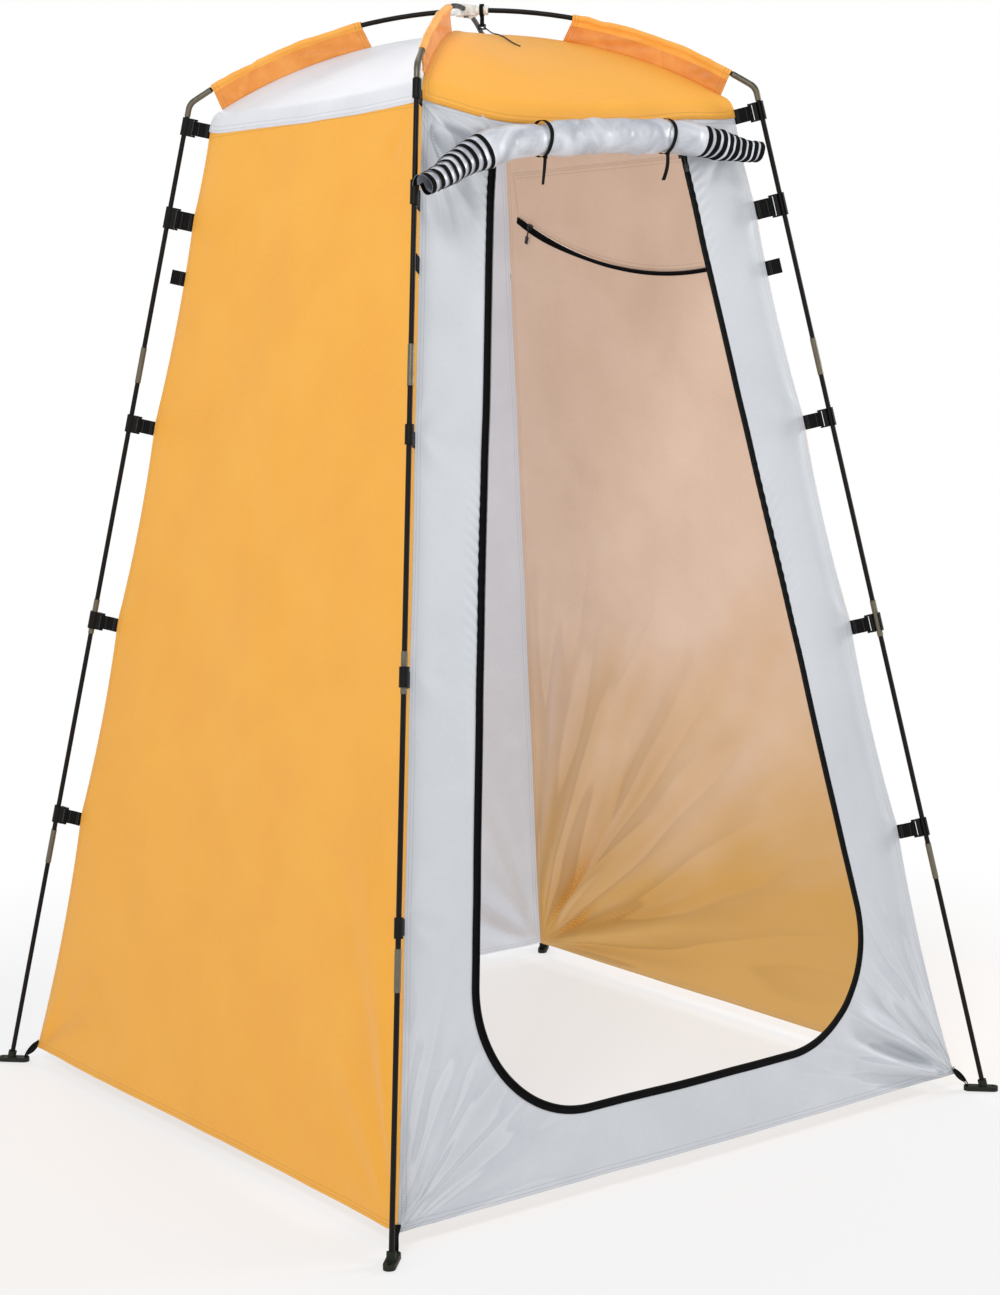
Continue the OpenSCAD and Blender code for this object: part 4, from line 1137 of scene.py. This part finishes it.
# foot straps: from the fabric corner down through the slot in the foot
c = Cloth([M_WEB, M_THREAD])
fab0 = sqrt(2) * HB
slot = D0 - 0.036 + 0.0055
for k in range(4):
    top = np.array([fab0 - 0.003, HEM + 0.012])
    path = []
    for t in np.linspace(0, 1, 14):
        q = top * (1 - t) + np.array([slot - 0.0006, 0.0105]) * t
        q = q + np.array([-0.0016, 0]) * sin(pi * t)
        path.append((q[0], 0, q[1]))
    path += [(slot - 0.0006, 0, 0.0075), (slot - 0.0004, 0, 0.0035), (slot, 0, 0.0018), (slot + 0.0010, 0, 0.0035), (slot + 0.0011, 0, 0.0075)]
    for t in np.linspace(1, 0, 14):
        q = (top + np.array([0.0014, 0.0004])) * (1 - t) + np.array([slot + 0.0011, 0.0115]) * t
        q = q + np.array([-0.0004, 0]) * sin(pi * t)
        path.append((q[0], 0, q[1]))
    pth = np.array(path)
    tq = np.clip((pth[:, 2] - 0.0115) / (HEM + 0.012 - 0.0115), 0, 1)
    tw = 0.95 * np.sin(pi * np.clip(tq, 0, 1)) * (1 if k in (1, 2) else -1)
    ac = np.stack([np.sin(tw) * 0.8, np.cos(tw), np.sin(tw) * 0.6], -1)
    c.ribbon(pth @ corner_m(k).T, ac @ corner_m(k).T, 0.010, 0.0011)
ob = c.build("foot_strap_web")
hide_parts("foot_straps")
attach(ob, "tent")

# guy tabs: webbing folded back on itself
c = Cloth([M_WEB, M_THREAD])
for k in range(4):
    xs = np.linspace(-0.0510, -0.0262, 10)
    loop = [(-0.0262 + 0.0012 * cos(t) + 0.0004, 0.0011 * sin(t)) for t in np.linspace(-pi / 2, pi / 2, 9)]
    pth = [(x, -0.0011) for x in xs[:-1]] + loop + [(x, 0.0011) for x in xs[::-1][1:]]
    pl = np.array([(x, y, 0) for x, y in pth])
    R = corner_m(k) @ ry(-LEAN)
    c.ribbon(leg_pts(k, 1.462, pl), R @ np.array([0, 0, 1.0]), 0.0255, 0.0009)
    zs = np.arange(-0.0105, 0.011, 0.0026)
    for x in (-0.0445, -0.0415):
        for side in (-1, 1):
            pts = np.stack([np.full(len(zs), x), np.full(len(zs), side * 0.0013), zs], -1)
            c.blocks(leg_pts(k, 1.462, pts), R @ np.array([1.0, 0, 0]), R @ np.array([0, 1.0, 0]), R @ np.array([0, 0, 1.0]), (0.0004, 0.0003, 0.0010), mat=1)
ob = c.build("guy_tab_web")
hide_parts("guy_tabs")
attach(ob, "tent")

# roof strap: ribbon round one socket of the hub and down to the hook
c = Cloth([M_WEB, M_THREAD])
m45 = rz(-pi / 4)
cen = np.array([0.021, -0.021, CROWN])
loop = [(0, 0.0097 * sin(t), 0.0097 * cos(t)) for t in np.linspace(math.radians(-172), math.radians(172), 40)]
down = [(0, 0.0009, -z) for z in np.linspace(0.0115, 0.0215, 6)]
low = [(0, 0.0024 * cos(t), -0.025 - 0.0024 * sin(t)) for t in np.linspace(-0.9, pi + 0.9, 18)]
up_ = [(0, -0.0009, -z) for z in np.linspace(0.0215, 0.0115, 6)]
pth = (np.array(up_[-2:] + loop[0:] + down + low + up_[:-2]) + np.array([-0.0025, 0, 0])) @ m45.T + cen
c.ribbon(pth, m45 @ np.array([1.0, 0, 0]), 0.0068, 0.0009)
ob = c.build("roof_strap_web")
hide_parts("roof_strap")
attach(ob, "tent")

# loose tail of elastic cord knotted at the hook, lying on the roof
def front_roof(x, y):
    """Height of the front roof cloth."""
    d = sqrt(2) * abs(y)
    t = np.interp(d, prof[:, 0], np.linspace(0, 1, len(prof)))
    w = 1 - min(1.0, abs(x / y)) ** 2.2
    return np.interp(d, prof[:, 0], prof[:, 1]) + w * (-0.011 * sin(pi * t ** 1.2) + 0.0022 * float(fbm(x * 9, t * 3 + 2, 4, 2)))


hook = np.array([0.0205, -0.0215, CROWN - 0.0278])
ctrl = [hook, hook + [0.002, -0.006, -0.0045]]
for qx, qy in ((0.0205, -0.046), (0.0190, -0.068), (0.0130, -0.090), (0.0050, -0.110), (-0.0020, -0.128), (-0.0060, -0.144), (-0.0050, -0.158)):
    ctrl.append(np.array([qx, qy, front_roof(qx, qy) + 0.0020]))
ctrl = np.array(ctrl)
dd = np.concatenate([[0], np.cumsum(np.linalg.norm(np.diff(ctrl, axis=0), axis=1))])
tq = np.linspace(0, dd[-1], 60)
cp = np.stack([np.interp(tq, dd, ctrl[:, i]) for i in range(3)], -1)
for _ in range(4):
    cp[1:-1] = 0.25 * cp[:-2] + 0.5 * cp[1:-1] + 0.25 * cp[2:]
tv_, tf_ = tube_mesh(cp, 0.0011, 10)
ob = mesh_object("crown_cord", tv_, tf_, [M_CORD], np.zeros(len(tf_), np.int32))
plain_uv(ob)
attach(ob, "tent")

# ------------------------------------------------------------------ rolled door
ROLL = np.array([[-400, 1565, 19, 40], [-381, 1573, 20, 36.5], [-362, 1581, 21, 31], [-340, 1590, 21.5, 23], [-317, 1599, 22, 13.5], [-282, 1615, 23, 6],
                 [-250, 1628, 24, 1.5], [-220, 1637, 25, 0], [-190, 1643, 25, 0], [-90, 1654, 26, 0], [0, 1660, 26, 0], [90, 1664, 26, 0],
                 [170, 1663, 25, 0], [205, 1660, 24, 0], [240, 1655, 23, 0], [290, 1650, 21, 0], [342, 1646, 19, 0]]) / 1000
cx = ROLL[:, 0]
fine = np.linspace(cx[0] - 0.004, cx[-1] + 0.004, 400)


def smooth_interp(col):
    y = np.interp(fine, cx, ROLL[:, col])
    for _ in range(3):
        pad = np.concatenate([np.full(9, y[0]) + (y[0] - y[1]) * np.arange(9, 0, -1), y, np.full(9, y[-1]) + (y[-1] - y[-2]) * np.arange(1, 10)])
        y = np.convolve(pad, np.ones(19) / 19, "valid")
    return y


rl_z, rl_e = smooth_interp(1), smooth_interp(3)
rl_y = -(HW - LEAN_IN * rl_z) - 0.038 - rl_e
line3 = np.stack([fine, rl_y, rl_z], -1)
arc_s = np.concatenate([[0], np.cumsum(np.linalg.norm(np.diff(line3, axis=0), axis=1))])
s_mid = np.interp(0.0, fine, arc_s)
S_LEFT, S_RIGHT = arc_s[0] - s_mid, arc_s[-1] - s_mid


def on_roll(w):
    """Point, across-frame and tangent of the roll's middle line at arc length w from x = 0."""
    q = np.clip(w + s_mid, 0, arc_s[-1])
    p = np.stack([np.interp(q, arc_s, line3[:, i]) for i in range(3)], -1)
    e = 0.002
    p2 = np.stack([np.interp(np.clip(q + e, 0, arc_s[-1]), arc_s, line3[:, i]) for i in range(3)], -1)
    p1 = np.stack([np.interp(np.clip(q - e, 0, arc_s[-1]), arc_s, line3[:, i]) for i in range(3)], -1)
    t = p2 - p1
    t /= np.linalg.norm(t, axis=-1, keepdims=True)
    n1 = np.zeros_like(t)
    n1[..., 1] = -1.0
    n1 = n1 - t * (n1 * t).sum(-1, keepdims=True)
    n1 /= np.linalg.norm(n1, axis=-1, keepdims=True)
    n2 = np.cross(t, n1)
    n2 *= np.sign(n2[..., 2:3] + 1e-12)
    return p, n1, n2, t


def pnoise(x, th, per, seed):
    """Noise along x, periodic round the roll with per cells."""
    y = (th / (2 * pi)) * per
    xi, yi = np.floor(x).astype(np.int64), np.floor(y).astype(np.int64)
    fx_, fy_ = x - xi, y - yi
    fx_, fy_ = fx_ * fx_ * (3 - 2 * fx_), fy_ * fy_ * (3 - 2 * fy_)
    y0, y1 = yi % per, (yi + 1) % per
    a_, b_ = _hash(xi, y0, seed), _hash(xi + 1, y0, seed)
    c_, d_ = _hash(xi, y1, seed), _hash(xi + 1, y1, seed)
    return 2 * ((a_ * (1 - fx_) + b_ * fx_) * (1 - fy_) + (c_ * (1 - fx_) + d_ * fx_) * fy_) - 1


TURNS, R_OUT, R_IN = 8.95, 0.0262, 0.0148
per_turn = 44
n_th = int(TURNS * per_turn)
th = np.linspace(0, 2 * pi * TURNS, n_th)
frac = th / th[-1]
# the sheet starts behind the roll, goes down, under, out and up as it is wound
side_l = -(0.256 + (-S_LEFT - 0.256 - 0.001) * frac ** 0.96)
side_r = 0.206 + (S_RIGHT - 0.206 - 0.001) * frac ** 0.96
inset = np.array([0, 0.0015, 0.0050, 0.0084, 0.0098])
mid_n = 150
wcol = np.zeros((mid_n + 2 * len(inset), n_th))
nc = len(inset)
for i in range(nc):
    wcol[i] = side_l + inset[i]
    wcol[-1 - i] = side_r - inset[i]
mt = np.linspace(0, 1, mid_n + 2)[1:-1]
wcol[nc:nc + mid_n] = (side_l + 0.0098)[None, :] + mt[:, None] * ((side_r - side_l - 0.0196)[None, :])
phi = pi + 0.25 + th
radius = R_OUT - (R_OUT - R_IN) * frac ** 1.25
p0, n1, n2, tv = on_roll(wcol)
PH = np.broadcast_to(phi[None, :], wcol.shape)
limit = np.interp(wcol, [S_LEFT, -0.2, 0, 0.2, S_RIGHT], [0.55, 0.9, 1.0, 0.95, 0.6])
cr = 0.0022 * pnoise(wcol * 30, PH, 5, 3) + 0.0012 * pnoise(wcol * 60, PH, 9, 5) + 0.0022 * (1 - 2 * np.abs(pnoise(wcol * 22 + 7, PH, 4, 7))) + 0.0006 * pnoise(wcol * 120, PH, 16, 8)
flat_ = -0.0012 * np.cos(2 * PH + 0.4)
tie_pinch = -0.0030 * (np.exp(-((wcol + 0.131) / 0.012) ** 2) + np.exp(-((wcol - 0.130) / 0.012) ** 2))
Rr = radius[None, :] + (cr + flat_) * limit + tie_pinch * 0.9
Rr = Rr - 0.0012 * frac[None, :] * 0
Pr = p0 + n1 * (Rr * np.cos(PH))[..., None] + n2 * (Rr * np.sin(PH))[..., None]
# first part of the sheet: from the header seam down to the back of the roll
nh = 12
head = np.zeros((wcol.shape[0], nh, 3))
x_h = p0[:, 0, 0] * 0.985
for j in range(nh):
    t = j / nh
    z_h = 1.6640
    yh = -(HW - LEAN_IN * z_h) - 0.0022
    drop0 = eave_drop(x_h) * smooth(1.53, 1.708, z_h)
    base = np.stack([x_h, np.full_like(x_h, yh), z_h - drop0 + 0 * x_h], -1)
    tgt = Pr[:, 0]
    mid_pt = (base + tgt) / 2 + np.array([0, 0.001, -0.002])
    head[:, j] = base * (1 - t) ** 2 + 2 * mid_pt * t * (1 - t) + tgt * t * t
sheetP = np.concatenate([head, Pr], 1)
w_all = np.concatenate([np.repeat(wcol[:, :1], nh, 1), wcol], 1)
arc_v = np.concatenate([[0], np.cumsum(np.linalg.norm(np.diff(sheetP[sheetP.shape[0] // 2], axis=0), axis=1))])
uvd = np.stack(np.broadcast_arrays(w_all, arc_v[None, :]), -1)
fm = np.zeros((sheetP.shape[0] - 1, sheetP.shape[1] - 1), np.int32)
fm[:nc - 1, nh:] = 2
fm[-(nc - 1):, nh:] = 2
# the rolled door's mottle is painted shade and painted reflection
c = Cloth([M_CRINKLE_SHADED, M_CRINKLE_SHADED, M_TAPE])
c.grid(sheetP, 0.00035, uv=uvd, fmat=fm, imat=fm, flip=True)
ob = c.build("door_panel_rolled")
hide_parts("door_roll")
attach(ob, "tent")

# ties: a ribbon round the roll at two places, with a loose tail below each
c = Cloth([M_WEB, M_THREAD])
tails = []
for m, nm, zt, aa in ((-1, "left", 1.651, -5), (1, "right", 1.665, -1)):
    A = ry(math.radians(aa))
    org = np.array([m * 0.130, -(HW - LEAN_IN * zt) - 0.038, zt])
    t = np.linspace(0, 2 * pi, 73)[:-1]
    rad = 0.0284 - 0.0012 * np.cos(2 * t) * 0.4
    pth = np.stack([0.0030 * np.sin(t) + 0.0008 * np.sin(3 * t), rad * np.cos(t), rad * np.sin(t)], -1) @ A.T + org
    c.ribbon(pth, A @ np.array([1.0, 0, 0]), 0.0072, 0.0008, closed=True)
    # the knot under the roll
    kn = [(0.0 + 0.0045 * cos(v), -0.006 + 0.0035 * sin(v) * 0.6, -0.0292 - 0.0014 * sin(2 * v)) for v in np.linspace(0, 2 * pi, 25)[:-1]]
    c.ribbon(np.array(kn) @ A.T + org, A @ np.array([0, 0, 1.0]), 0.0030, 0.0008, closed=True)
    td = Cloth([M_WEB, M_THREAD])
    L = 0.0425
    v = np.linspace(0, 1, 24)
    dx = (-0.0085 * v if m < 0 else -0.0100 * v ** 1.4 + 0.0020 * np.sin(v * pi))
    pt = np.stack([dx, -0.0064 - 0.0012 * np.sin(v * 5.0) * v * 0.5, -0.0292 - L * v], -1) @ A.T + org
    tw = 0.55 * v * (1 if m < 0 else -1)
    ac = np.stack([np.cos(tw), np.sin(tw) * 0.6, 0 * tw], -1)
    ac /= np.linalg.norm(ac, axis=1, keepdims=True)
    td.ribbon(pt, ac @ A.T, 0.0066, 0.0009)
    tob = td.build("tie_tail_%s_ribbon" % nm)
    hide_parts("tie_tail_" + nm)
    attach(tob, "tie_" + nm)
ob = c.build("tie_loop_ribbons")
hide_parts("tie_loops")
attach(ob, "tent")
